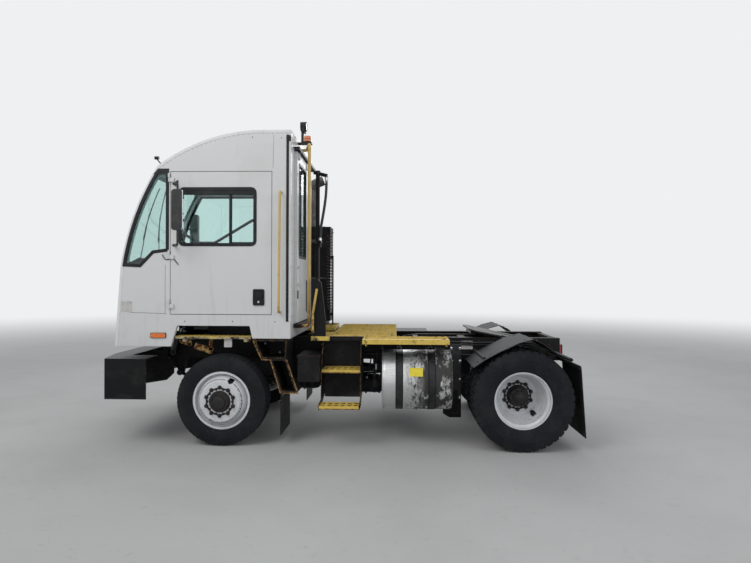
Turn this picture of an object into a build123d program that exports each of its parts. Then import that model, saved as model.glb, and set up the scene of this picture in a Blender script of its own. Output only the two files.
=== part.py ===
# Terminal tractor: a short two-axle yard truck with an offset cab and a lifting fifth wheel.
# Millimetres. While it is drawn, X points forward from the front axle, Y to the driver's side
# and Z up from the ground. At the end everything moves so that the origin lies on the ground
# under the middle of the whole machine.
from collections import namedtuple
import math
import os

from build123d import *

os.makedirs("parts", exist_ok=True)

LEFT = 1
RIGHT = -1

# Driving dimensions
WHEELBASE = 3048.0
OVERALL_WIDTH = 2438.0
FRONT_TYRE_R = 465.0
REAR_TYRE_R = 507.0
RIM_SEAT_R = 285.75
FRAME_TOP = 1060.0
HALF_WIDTH = OVERALL_WIDTH / 2
REAR_AXLE_X = -WHEELBASE
REAR_TYRE_FRONT_X = REAR_AXLE_X + REAR_TYRE_R
REAR_TYRE_BACK_X = REAR_AXLE_X - REAR_TYRE_R
SHAFT_GAP = 0.05
SEAT_GAP = 0.3
PLATE = 12.0

# Wheels and tyres
RIM_FLANGE_R = RIM_SEAT_R + 12.75
RIM_HALF_WIDTH = 105.0
RIM_WALL = 12.0
RIM_WELL_R = RIM_SEAT_R - 22.0
DISC_THICK = 10.0
DISC_BEND_R = RIM_SEAT_R - 51.0
DISC_FLAT_R = DISC_BEND_R - 32.0
HAND_HOLE_R = 28.0
HAND_HOLE_CIRCLE_R = DISC_BEND_R - 6.0
FRONT_HAND_HOLES = (117.0, -65.0)
REAR_HAND_HOLES = (-131.0, 49.0)
FRONT_TYRE_WIDTH = 255.0
FRONT_WHEEL_Y = 1000.0
FRONT_WHEEL_OUTSET = 150.0
FRONT_DISC_Y = FRONT_WHEEL_Y + FRONT_WHEEL_OUTSET
REAR_TYRE_WIDTH = 286.0
REAR_WHEEL_OFFSET = 171.5
REAR_OUTER_Y = HALF_WIDTH - REAR_TYRE_WIDTH / 2
REAR_DISC_Y = REAR_OUTER_Y - REAR_WHEEL_OFFSET
REAR_INNER_Y = REAR_DISC_Y - REAR_WHEEL_OFFSET
STUD_CIRCLE_R = 142.9
STUD_COUNT = 10
STUD_R = 14.0
HUB_FLANGE_R = DISC_FLAT_R - 28.0
HUB_PILOT_R = 110.0
BRAKE_DRUM_R = 215.0
BRAKE_DRUM_WALL = 14.0
SPINDLE_R = 42.0
SPINDLE_END_Y = FRONT_DISC_Y + 20.0
REAR_SPINDLE_R = 50.0
REAR_SPINDLE_END_Y = REAR_DISC_Y + 60.0

# Front axle and steering
KINGPIN_Y = 880.0
KINGPIN_R = 20.0
AXLE_BEAM_HALF = 50.0
AXLE_BEAM_DROP = 120.0
STEER_ARM_X = -190.0
STEER_PIN_R = 12.0
TIE_ROD_DROP = 63.0
TIE_ROD_R = 17.0
SPRING_Y = 430.0
SPRING_WIDTH = 80.0
SPRING_HALF = 640.0
SPRING_RISE = 125.0
SPRING_MID_X = 40.0
LEAF = 14.0
LEAF_COUNT = 4

# Frame
FRAME_DEPTH = 250.0
RAIL_OUTER_Y = 432.0
RAIL_FLANGE = 80.0
RAIL_WALL = 10.0
RAIL_FRONT_X = 880.0
RAIL_REAR_X = REAR_TYRE_BACK_X - 65.0
RAIL_INNER_Y = RAIL_OUTER_Y - RAIL_WALL
RAIL_LOW = FRAME_TOP - FRAME_DEPTH
RAIL_MID_Z = FRAME_TOP - FRAME_DEPTH / 2

# Lifting fifth wheel
BOOM_PIVOT_X = REAR_AXLE_X + 1148.0
BOOM_PIVOT_Z = FRAME_TOP - 100.0
BOOM_PIVOT_R = 30.0
PLATE_PIN_X = REAR_AXLE_X + 148.0
PLATE_PIN_Z = FRAME_TOP - 60.0
PLATE_PIN_R = 25.0
PLATE_RISE = 95.0
PLATE_THICK = 16.0
PLATE_REST_TILT = 11.0
KINGPIN_BORE_R = 25.9
LIFT_LOW_X = REAR_AXLE_X + 768.0
LIFT_LOW_Z = FRAME_TOP - 470.0
LIFT_HIGH_X = REAR_AXLE_X + 608.0
LIFT_HIGH_Z = FRAME_TOP - 130.0
LIFT_Y = 185.0
LIFT_BEAM_X = LIFT_LOW_X + 90.0

# Decks, tank and fenders
DECK_HEIGHT = 45.0
DECK_TOP = FRAME_TOP + DECK_HEIGHT
DECK_FRONT_X = -1080.0
DECK_REAR_X = BOOM_PIVOT_X + 110.0
DECK_HALF_Y = 840.0
TANK_R = 305.0
TANK_Y = 890.0
TANK_Z = FRAME_TOP - 392.0
TANK_FRONT_X = -1642.0
TANK_REAR_X = REAR_TYRE_FRONT_X + 187.0
TANK_LENGTH = TANK_FRONT_X - TANK_REAR_X
STRAP_WIDTH = 60.0
STRAP_SHARES = (0.247, 0.708)
FLAP_X = REAR_TYRE_BACK_X - 58.0
FENDER_INNER_Y = 560.0
FENDER_OUTER_Y = HALF_WIDTH - 9.0
FENDER_SHEET = 5.0
FENDER_TUBE_R = 18.0

# Cab
CAB_LEFT_Y = 1060.0
CAB_RIGHT_Y = -340.0
CAB_REAR_X = -700.0
CAB_WALL = 40.0
CAB_INNER_LEFT_Y = CAB_LEFT_Y - CAB_WALL
CAB_INNER_RIGHT_Y = CAB_RIGHT_Y + CAB_WALL
CAB_FLOOR_UNDER = 1230.0
CAB_FLOOR_TOP = CAB_FLOOR_UNDER + CAB_WALL
CAB_SKIRT_Z = 1009.0
CAB_REAR_SKIRT_Z = 1097.0
CAB_RIGHT_SKIRT_Z = 1130.0
CAB_NOSE_X = 1134.0
BELT_X = 1076.0
BELT_Z = 1828.0
SCREEN_X = 905.0
SCREEN_Z = 2462.0
KNEE_X = 690.0
KNEE_Z = 2880.0
CROWN_X = 200.0
CROWN_Z = 3140.0
ROOF_FRONT_X = -300.0
ROOF_Z = 3244.0
ROOF_SPLIT_Z = KNEE_Z - 20.0
CAB_PIVOT_X = 950.0
CAB_PIVOT_Z = FRAME_TOP + 90.0
CAB_PIVOT_R = 15.0
CAB_PIVOT_YS = (385.0, -265.0)
DOOR_FRONT_X = 550.0
DOOR_REAR_X = -500.0
DOOR_LOW_Z = 1345.0
DOOR_HIGH_Z = 2815.0
DOOR_GAP = 6.0
HINGE_X = DOOR_FRONT_X + 12.0
HINGE_Y = CAB_LEFT_Y + 16.0
HINGE_R = 9.0
HINGE_PIN_R = 4.0
HINGE_ZS = (1450.0, 1960.0, 2755.0)
GLASS = 6.0
TILT_LOW_X = 740.0
TILT_LOW_Z = FRAME_TOP - 180.0
TILT_HIGH_X = 640.0
TILT_HIGH_Z = FRAME_TOP + 120.0
TILT_Y = 500.0

# Bumper and engine hood
BUMPER_TOP = 900.0
BUMPER_LOW = 490.0
BUMPER_FRONT_X = 1250.0
BUMPER_CORNER_X = 1160.0
BUMPER_CORNER_Y = HALF_WIDTH - 419.0
BUMPER_END_X = 734.0
BUMPER_WALL = 8.0
LAMP_Y = 640.0
LAMP_Z = 700.0
LAMP_R = 90.0
HOOD_IN_Y = -352.0
HOOD_OUT_Y = -1060.0
HOOD_TOP_Z = 1650.0
HOOD_FRONT_X = 1010.0
HOOD_REAR_X = -330.0
LID_HINGE_Y = HOOD_OUT_Y + 24.0
LID_HINGE_Z = HOOD_TOP_Z + 14.0
LID_HINGE_R = 8.0

NODES = {}


def block(x0, x1, y0, y1, z0, z1):
    return Pos((x0 + x1) / 2, (y0 + y1) / 2, (z0 + z1) / 2) * Box(abs(x1 - x0), abs(y1 - y0), abs(z1 - z0))


def rod(start, end, radius):
    axis = Vector(*end) - Vector(*start)
    return extrude(Plane(origin=start, z_dir=axis) * Circle(radius), amount=axis.length)


def cyl_x(x0, x1, y, z, radius):
    return rod((x0, y, z), (x1, y, z), radius)


def cyl_y(x, y0, y1, z, radius):
    return rod((x, y0, z), (x, y1, z), radius)


def cyl_z(x, y, z0, z1, radius):
    return rod((x, y, z0), (x, y, z1), radius)


def side_prism(points, y0, y1):
    face = make_face(Polyline(*[(x, y0, z) for x, z in points], close=True))
    return extrude(face, amount=y1 - y0, dir=(0, 1, 0))


def front_prism(points, x0, x1):
    face = make_face(Polyline(*[(x0, y, z) for y, z in points], close=True))
    return extrude(face, amount=x1 - x0, dir=(1, 0, 0))


def plan_prism(points, z0, z1):
    face = make_face(Polyline(*[(x, y, z0) for x, y in points], close=True))
    return extrude(face, amount=z1 - z0, dir=(0, 0, 1))


def tube_through(points, radii, radius, bore=0.0):
    path = FilletPolyline(*points, radius=radii)
    plane = Plane(origin=points[0], z_dir=Vector(*points[1]) - Vector(*points[0]))
    tube = sweep(plane * Circle(radius), path=path)
    if bore:
        tube = tube - sweep(plane * Circle(bore), path=path)
    return tube


def mirrored(shape):
    return mirror(shape, about=Plane.XZ)


def both_sides(shapes):
    pieces = shapes if isinstance(shapes, list) else [shapes]
    return pieces + [mirrored(piece) for piece in pieces]


def keep(name, shapes):
    solids = []
    for shape in shapes if isinstance(shapes, list) else [shapes]:
        solids += list(shape.solids())
    NODES[name] = Compound(solids) if len(solids) > 1 else solids[0]


# Wheels and tyres are turned about the Y axis: a profile is a list of (radius, distance across).
def turned(edges, centre):
    return Pos(*centre) * revolve(make_face(edges), axis=Axis.Y, revolution_arc=360)


def tyre(outer_r, width, centre):
    half = width / 2
    bead = RIM_SEAT_R + SEAT_GAP
    flange = RIM_HALF_WIDTH - RIM_WALL - SEAT_GAP
    side_r = RIM_FLANGE_R + 8
    side_y = RIM_HALF_WIDTH - 4
    shoulder_r = outer_r - 22
    shoulder_y = half - 12
    crown_r = outer_r - 8
    crown_y = half - 26
    wide_r = (bead + outer_r) / 2 - 10
    edges = [
        Polyline((bead, -flange, 0), (bead, flange, 0), (RIM_FLANGE_R + 4, flange, 0), (side_r, side_y, 0)),
        ThreePointArc((side_r, side_y, 0), (wide_r, half, 0), (shoulder_r, shoulder_y, 0)),
        Line((shoulder_r, shoulder_y, 0), (crown_r, crown_y, 0)),
        ThreePointArc((crown_r, crown_y, 0), (outer_r, 0, 0), (crown_r, -crown_y, 0)),
        Line((crown_r, -crown_y, 0), (shoulder_r, -shoulder_y, 0)),
        ThreePointArc((shoulder_r, -shoulder_y, 0), (wide_r, -half, 0), (side_r, -side_y, 0)),
        Polyline((side_r, -side_y, 0), (RIM_FLANGE_R + 4, -flange, 0), (bead, -flange, 0)),
    ]
    return turned(edges, centre)


# A wheel's disc face sits at "disc" across from the rim's middle, positive towards the driver's side.
# Its hand holes are in degrees up from the front of the wheel.
def wheel(disc, centre, hand_holes):
    side = 1 if disc > 0 else -1
    edge = RIM_HALF_WIDTH
    lip = edge - RIM_WALL
    inner = RIM_SEAT_R - RIM_WALL
    well_in = RIM_WELL_R - RIM_WALL
    rim = Polyline(
        (RIM_FLANGE_R, -edge, 0), (RIM_FLANGE_R, -lip, 0), (RIM_SEAT_R, -lip, 0), (RIM_SEAT_R, -35, 0),
        (RIM_WELL_R, -15, 0), (RIM_WELL_R, 35, 0), (RIM_SEAT_R, 55, 0), (RIM_SEAT_R, lip, 0),
        (RIM_FLANGE_R, lip, 0), (RIM_FLANGE_R, edge, 0), (inner, edge, 0), (inner, 62, 0),
        (well_in, 40, 0), (well_in, -18, 0), (inner, -40, 0), (inner, -edge, 0), close=True)
    front = disc + side * DISC_THICK
    root = well_in + RIM_WALL / 2
    disc_profile = Polyline(
        (root, side * 20, 0), (root, side * 36, 0), (DISC_BEND_R, disc - side * 30, 0),
        (DISC_FLAT_R, front, 0), (HUB_PILOT_R + 1, front, 0), (HUB_PILOT_R + 1, disc, 0),
        (DISC_FLAT_R - 5, disc, 0), (DISC_BEND_R - 9, disc - side * 40, 0), close=True)
    shape = turned(rim, (0, 0, 0)) + turned(disc_profile, (0, 0, 0))
    for degrees in hand_holes:
        x = HAND_HOLE_CIRCLE_R * math.cos(math.radians(degrees))
        z = HAND_HOLE_CIRCLE_R * math.sin(math.radians(degrees))
        shape = shape - rod((x, disc - side * 90, z), (x, disc + side * 60, z), HAND_HOLE_R)
    return Pos(*centre) * shape


def studs(x, y0, y1, z):
    ring = []
    for index in range(STUD_COUNT):
        angle = 2 * math.pi * (index + 0.5) / STUD_COUNT
        place_x = x + STUD_CIRCLE_R * math.cos(angle)
        place_z = z + STUD_CIRCLE_R * math.sin(angle)
        ring.append(cyl_y(place_x, y0, y1, place_z, STUD_R))
    return ring


# A hub with its brake drum. Along Y: the drum's two ends, the face that carries the disc, the nose.
def hub(x, z, drum_in, drum_out, face, pilot, nose, stud_reach, bore_end, bore_r):
    drum = cyl_y(x, drum_in, drum_out, z, BRAKE_DRUM_R)
    drum = drum - cyl_y(x, drum_in - 1, drum_out - BRAKE_DRUM_WALL, z, BRAKE_DRUM_R - BRAKE_DRUM_WALL)
    body = drum + cyl_y(x, drum_out - 20, face, z, HUB_FLANGE_R)
    body = body + cyl_y(x, face - 1, face + pilot, z, HUB_PILOT_R)
    body = body + cyl_y(x, face - 1, face + nose, z, HUB_PILOT_R - 15)
    body = body + cyl_y(x, face + nose - 1, face + nose + 14, z, HUB_PILOT_R - 45)
    for stud in studs(x, face - 5, face + stud_reach, z):
        body = body + stud
    return body - cyl_y(x, drum_in - 1, bore_end, z, bore_r + SHAFT_GAP)


def build_wheels():
    front = (0, FRONT_WHEEL_Y, FRONT_TYRE_R)
    outer = (REAR_AXLE_X, REAR_OUTER_Y, REAR_TYRE_R)
    inner = (REAR_AXLE_X, REAR_INNER_Y, REAR_TYRE_R)
    front_wheel = wheel(FRONT_WHEEL_OUTSET, front, FRONT_HAND_HOLES)
    for hole in studs(0, 0, OVERALL_WIDTH, FRONT_TYRE_R):
        front_wheel = front_wheel - hole
    outer_wheel = wheel(-REAR_WHEEL_OFFSET, outer, REAR_HAND_HOLES)
    inner_wheel = wheel(REAR_WHEEL_OFFSET - 2 * DISC_THICK, inner, REAR_HAND_HOLES)
    for hole in studs(REAR_AXLE_X, 0, OVERALL_WIDTH, REAR_TYRE_R):
        outer_wheel = outer_wheel - hole
        inner_wheel = inner_wheel - hole
    rear_face = REAR_DISC_Y - 2 * DISC_THICK
    front_hub = hub(0, FRONT_TYRE_R, 972, 1100, FRONT_DISC_Y, 12, 46, 38, SPINDLE_END_Y + 2, SPINDLE_R)
    rear_hub = hub(REAR_AXLE_X, REAR_TYRE_R, rear_face - 225, rear_face - 25, rear_face, 24, 120, 55,
                   REAR_SPINDLE_END_Y + 2, REAR_SPINDLE_R)
    front_tyre = tyre(FRONT_TYRE_R, FRONT_TYRE_WIDTH, front)
    rear_tyres = [tyre(REAR_TYRE_R, REAR_TYRE_WIDTH, outer), tyre(REAR_TYRE_R, REAR_TYRE_WIDTH, inner)]
    sets = {
        "front_{}_tyre": [front_tyre],
        "front_{}_wheel": [front_wheel, front_hub],
        "rear_{}_tyres": rear_tyres,
        "rear_{}_wheels": [outer_wheel, inner_wheel, rear_hub],
    }
    for name, pieces in sets.items():
        keep(name.format("left"), pieces)
        keep(name.format("right"), [mirrored(piece) for piece in pieces])


# Front axle: a forged I-beam, knuckles on kingpins with straight steering arms, and the tie rod.
def build_front_axle():
    z = FRONT_TYRE_R
    half = AXLE_BEAM_HALF
    low = z - AXLE_BEAM_DROP
    outline = [(-KINGPIN_Y, z - 60), (-KINGPIN_Y, z + 50), (120 - KINGPIN_Y, z + 30), (-620, z - 10),
               (620, z - 10), (KINGPIN_Y - 120, z + 30), (KINGPIN_Y, z + 50), (KINGPIN_Y, z - 60),
               (640, low), (-640, low)]
    beam = front_prism(outline, -half, half)
    web = 32.0
    for side in (half, -half):
        out = math.copysign(1, side)
        pocket = [(-600, low + 20), (600, low + 20), (580, z - 30), (-580, z - 30)]
        beam = beam - front_prism(pocket, side - out * web, side + out)
    for side in (LEFT, RIGHT):
        beam = beam + cyl_z(0, side * KINGPIN_Y, z - 80, z + 80, 45)
        beam = beam - cyl_z(0, side * KINGPIN_Y, z - 81, z + 81, KINGPIN_R + SHAFT_GAP)
    keep("front_axle", beam)

    boss = 45.0
    jaw = 85.5
    reach = 120.0
    web_y = KINGPIN_Y + 52
    yoke = cyl_z(0, KINGPIN_Y, z - 110, z + 110, KINGPIN_R)
    for z0, z1 in ((z - reach, z - jaw), (z + jaw, z + reach)):
        yoke = yoke + cyl_z(0, KINGPIN_Y, z0, z1, boss) + block(-boss, boss, KINGPIN_Y, web_y + 3, z0, z1)
    yoke = yoke + block(-60, 60, web_y, web_y + 30, z - reach, z + reach)
    yoke = yoke + cyl_y(0, web_y + 18, SPINDLE_END_Y, z, SPINDLE_R)
    arm = plan_prism([(0, KINGPIN_Y + 40), (0, KINGPIN_Y - 40), (STEER_ARM_X, KINGPIN_Y - 28),
                      (STEER_ARM_X, KINGPIN_Y + 28)], low, low + 30)
    tie_z = z - TIE_ROD_DROP
    arm = arm + cyl_z(STEER_ARM_X, KINGPIN_Y, low, low + 30, 28)
    arm = arm + cyl_z(STEER_ARM_X, KINGPIN_Y, low + 20, tie_z + 24, STEER_PIN_R)
    knuckle = yoke + arm
    keep("knuckle_left", knuckle)
    keep("knuckle_right", mirrored(knuckle))

    tie = cyl_y(STEER_ARM_X, 20 - KINGPIN_Y, KINGPIN_Y - 20, tie_z, TIE_ROD_R)
    for side in (LEFT, RIGHT):
        y = side * KINGPIN_Y
        clamp = side * (KINGPIN_Y - 110)
        tie = tie + cyl_z(STEER_ARM_X, y, tie_z - 20, tie_z + 20, 27)
        tie = tie + cyl_y(STEER_ARM_X, clamp - 22, clamp + 22, tie_z, 23)
        tie = tie - cyl_z(STEER_ARM_X, y, tie_z - 30, tie_z + 30, STEER_PIN_R + SHAFT_GAP)
    keep("tie_rod", tie)


# Leaf springs: concentric leaves, the lower ones shorter, with an eye and a hanger at each end.
def build_front_springs():
    seat_z = FRONT_TYRE_R - 10
    top_z = seat_z + LEAF * LEAF_COUNT + 8
    radius = (SPRING_HALF ** 2 + SPRING_RISE ** 2) / (2 * SPRING_RISE)
    centre_z = top_z + radius
    y0 = SPRING_Y - SPRING_WIDTH / 2
    y1 = SPRING_Y + SPRING_WIDTH / 2
    pack = block(-70, 70, y0, y1, seat_z, top_z + 12)
    for index in range(LEAF_COUNT):
        outer = radius + LEAF * (index + 1)
        reach = SPRING_HALF * (1 - 0.17 * index)
        ring = cyl_y(SPRING_MID_X, y0, y1, centre_z, outer)
        ring = ring - cyl_y(SPRING_MID_X, y0 - 1, y1 + 1, centre_z, outer - LEAF)
        limits = block(SPRING_MID_X - reach, SPRING_MID_X + reach, y0, y1, seat_z, centre_z - radius + 400)
        pack = pack + (ring & limits)
    eye_z = top_z + SPRING_RISE
    for end in (SPRING_MID_X - SPRING_HALF, SPRING_MID_X + SPRING_HALF):
        hanger = [(end - 30, eye_z), (end + 30, eye_z), (end + 70, RAIL_LOW), (end - 70, RAIL_LOW)]
        pack = pack + cyl_y(end, y0, y1, eye_z, 34) + side_prism(hanger, y0 - 10, y1 - 38)
    plate_z = FRONT_TYRE_R - AXLE_BEAM_DROP
    clamp = block(-80, 80, y0 - 28, y1 + 28, plate_z - 16, plate_z)
    for x in (-64, 64):
        for y in (y0 - 14, y1 + 14):
            clamp = clamp + cyl_z(x, y, plate_z - 30, top_z + 26, 9)
        clamp = clamp + cyl_y(x, y0 - 14, y1 + 14, top_z + 26, 9)
    keep("front_springs", both_sides([pack - clamp, clamp]))


# Rear axle: a banjo housing with its cover, pedestals under the rails and two brake chambers.
def build_rear_axle():
    z = REAR_TYRE_R
    x = REAR_AXLE_X
    bowl = cyl_x(x - 120, x + 120, 0, z, 205)
    bowl = fillet(bowl.edges(), 60)
    housing = bowl + block(x - 65, x + 65, -640, 640, z - 65, z + 65)
    nose = Plane(origin=(x + 100, 0, z), z_dir=(1, 0, 0)) * Circle(150)
    housing = housing + extrude(nose, amount=180, taper=18)
    for side in (LEFT, RIGHT):
        y0, y1 = sorted((side * (RAIL_OUTER_Y - RAIL_FLANGE), side * RAIL_OUTER_Y))
        housing = housing + cyl_y(x, side * 600, side * REAR_SPINDLE_END_Y, z, REAR_SPINDLE_R)
        pedestal = [(x - 75, z), (x + 75, z), (x + 170, RAIL_LOW), (x - 170, RAIL_LOW)]
        housing = housing + side_prism(pedestal, y0, y1)
        chamber_y = side * 320
        housing = housing + cyl_x(x - 330, x - 190, chamber_y, z + 40, 78)
        housing = housing + cyl_x(x - 272, x - 258, chamber_y, z + 40, 86)
        housing = housing + block(x - 200, x - 60, chamber_y - 30, chamber_y + 30, z - 20, z + 64)
    keep("rear_axle", housing)


def build_drivetrain():
    engine = block(-500, 420, -285, 285, 590, 1180)
    mounts = [block(-60, 60, side * 285, side * RAIL_INNER_Y, 880, 940) for side in (LEFT, RIGHT)]
    gearbox = extrude(Plane(origin=(-500, 0, 730), z_dir=(-1, 0, 0)) * Circle(190), amount=520, taper=9)
    nose_x = REAR_AXLE_X + 280
    flange = cyl_x(nose_x, nose_x + 40, 0, REAR_TYRE_R, 60)
    shaft = rod((-1000, 0, 712), (nose_x + 25, 0, REAR_TYRE_R), 45) - gearbox - flange
    radiator = block(800, 870, -985, -375, FRAME_TOP, 1500)
    keep("drivetrain", [engine, gearbox, shaft, flange, radiator] + mounts)


# Crossmembers: place along X, low edge, thickness along X
CROSSMEMBERS = (
    (RAIL_FRONT_X - 50.0, RAIL_LOW + 20.0, 60.0),
    (DECK_FRONT_X - 80.0, RAIL_LOW + 50.0, 70.0),
    (BOOM_PIVOT_X + 300.0, RAIL_LOW + 20.0, 70.0),
    (RAIL_REAR_X + 30.0, RAIL_LOW + 10.0, 60.0),
)
FORK_GAP = 20.0
FORK_WALL = 14.0
LUG_WALL = 16.0
LUG_OFFSET = 66.0


def build_frame():
    low = RAIL_LOW
    channel = block(RAIL_REAR_X, RAIL_FRONT_X, RAIL_OUTER_Y - RAIL_FLANGE, RAIL_OUTER_Y, low, FRAME_TOP)
    channel = channel - block(RAIL_REAR_X - 1, RAIL_FRONT_X + 1, RAIL_OUTER_Y - RAIL_FLANGE - 1, RAIL_INNER_Y,
                              low + RAIL_WALL, FRAME_TOP - RAIL_WALL)
    frame = channel + mirrored(channel)
    for x, foot, depth in CROSSMEMBERS:
        half = depth / 2
        frame = frame + block(x - half, x + half, -RAIL_INNER_Y, RAIL_INNER_Y, foot, FRAME_TOP - RAIL_WALL)
    frame = frame + cyl_y(BOOM_PIVOT_X, -RAIL_INNER_Y, RAIL_INNER_Y, BOOM_PIVOT_Z, BOOM_PIVOT_R)
    frame = frame + block(LIFT_BEAM_X - 40, LIFT_BEAM_X + 40, -RAIL_OUTER_Y, RAIL_OUTER_Y, low - 130, low)
    for side in (LEFT, RIGHT):
        for offset in (-LUG_OFFSET, LUG_OFFSET):
            y = side * LIFT_Y + offset - LUG_WALL / 2
            lug = [(LIFT_BEAM_X - 35, low - 20), (LIFT_BEAM_X - 35, low - 130),
                   (LIFT_BEAM_X - 30, LIFT_LOW_Z - 40), (LIFT_LOW_X, LIFT_LOW_Z - 40),
                   (LIFT_LOW_X - 40, LIFT_LOW_Z), (LIFT_LOW_X, LIFT_LOW_Z + 42)]
            frame = frame + side_prism(lug, y, y + LUG_WALL)
        pin_half = LUG_OFFSET + LUG_WALL / 2
        frame = frame + cyl_y(LIFT_LOW_X, side * LIFT_Y - pin_half, side * LIFT_Y + pin_half, LIFT_LOW_Z, 22)
    x = CAB_PIVOT_X
    z = CAB_PIVOT_Z
    fork = [(x - 150, FRAME_TOP - 20), (x - 90, FRAME_TOP - 20), (x, z - 40), (x + 30, z - 15),
            (x + 30, z + 15), (x + 15, z + 30), (x - 15, z + 30), (x - 150, FRAME_TOP + 30)]
    for y in CAB_PIVOT_YS:
        for offset in (-FORK_GAP - FORK_WALL, FORK_GAP):
            frame = frame + side_prism(fork, y + offset, y + offset + FORK_WALL)
        frame = frame + cyl_y(x, y - FORK_GAP - FORK_WALL, y + FORK_GAP + FORK_WALL, z, CAB_PIVOT_R)
    keep("frame", frame)

    support = block(-640, -560, -RAIL_OUTER_Y, RAIL_OUTER_Y, FRAME_TOP, FRAME_TOP + 60)
    for y in (300.0, -200.0):
        support = support + cyl_z(-600, y, FRAME_TOP + 60, CAB_FLOOR_UNDER - SEAT_GAP, 45)
    lug = block(TILT_LOW_X - 45, TILT_LOW_X + 45, RAIL_OUTER_Y, TILT_Y - 45, TILT_LOW_Z - 45, TILT_LOW_Z + 45)
    lug = lug + cyl_y(TILT_LOW_X, TILT_Y - 46, TILT_Y + 28, TILT_LOW_Z, 16)
    keep("cab_mounts", [support, lug])


def build_bumper():
    y = HALF_WIDTH
    w = BUMPER_WALL
    corner = BUMPER_CORNER_Y
    outer = [(BUMPER_END_X, y), (BUMPER_CORNER_X, y), (BUMPER_FRONT_X, corner), (BUMPER_FRONT_X, -corner),
             (BUMPER_CORNER_X, -y), (BUMPER_END_X, -y)]
    inner = [(BUMPER_END_X - 1, y - w), (BUMPER_CORNER_X - w, y - w), (BUMPER_FRONT_X - w, corner - w / 2),
             (BUMPER_FRONT_X - w, w / 2 - corner), (BUMPER_CORNER_X - w, w - y), (BUMPER_END_X - 1, w - y)]
    bumper = plan_prism(outer, BUMPER_LOW, BUMPER_TOP) - plan_prism(inner, BUMPER_LOW - 1, BUMPER_TOP - w)
    bumper = bumper - block(BUMPER_END_X - 1, 1010, -930, 930, BUMPER_TOP - w - 1, BUMPER_TOP + 1)
    reach_x = BUMPER_FRONT_X - 6
    web = [(RAIL_FRONT_X - 88, FRAME_TOP - 60), (RAIL_FRONT_X - 10, FRAME_TOP - 60),
           (RAIL_FRONT_X, BUMPER_TOP - 10), (reach_x, BUMPER_TOP - 20), (reach_x, BUMPER_LOW + 90),
           (1000, BUMPER_LOW + 90),
           (RAIL_FRONT_X - 60, RAIL_LOW - 10), (RAIL_FRONT_X - 88, RAIL_LOW + 10)]
    lamps = []
    for side in (LEFT, RIGHT):
        y0, y1 = sorted((side * RAIL_OUTER_Y, side * (RAIL_OUTER_Y + PLATE)))
        bumper = bumper + side_prism(web, y0, y1)
        bumper = bumper - cyl_x(BUMPER_FRONT_X - 30, BUMPER_FRONT_X + 1, side * LAMP_Y, LAMP_Z, LAMP_R)
        lamps.append(cyl_x(BUMPER_FRONT_X - 60, BUMPER_FRONT_X + 4, side * LAMP_Y, LAMP_Z, LAMP_R))
        y = side * 340
        lamps.append(block(RAIL_REAR_X - 40, RAIL_REAR_X, y - 50, y + 50, RAIL_MID_Z - 55, RAIL_MID_Z + 45))
    keep("front_bumper", bumper)
    keep("chassis_lamps", lamps)


# Engine hood on the off side, beside the cab: rectangles are (low X, high X, low Y, high Y)
LID_HOLE = (HOOD_REAR_X + 90.0, HOOD_FRONT_X - 230.0, HOOD_OUT_Y + 60.0, HOOD_IN_Y - 78.0)
LID_LAP = 25.0
GRILLE_YS = (HOOD_OUT_Y + 70.0, HOOD_IN_Y - 68.0)
GRILLE_ZS = (1090.0, 1470.0)
GRILLE_BARS = 9
LOUVRE_COUNT = 9
LOUVRE_PITCH = 62.0


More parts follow.
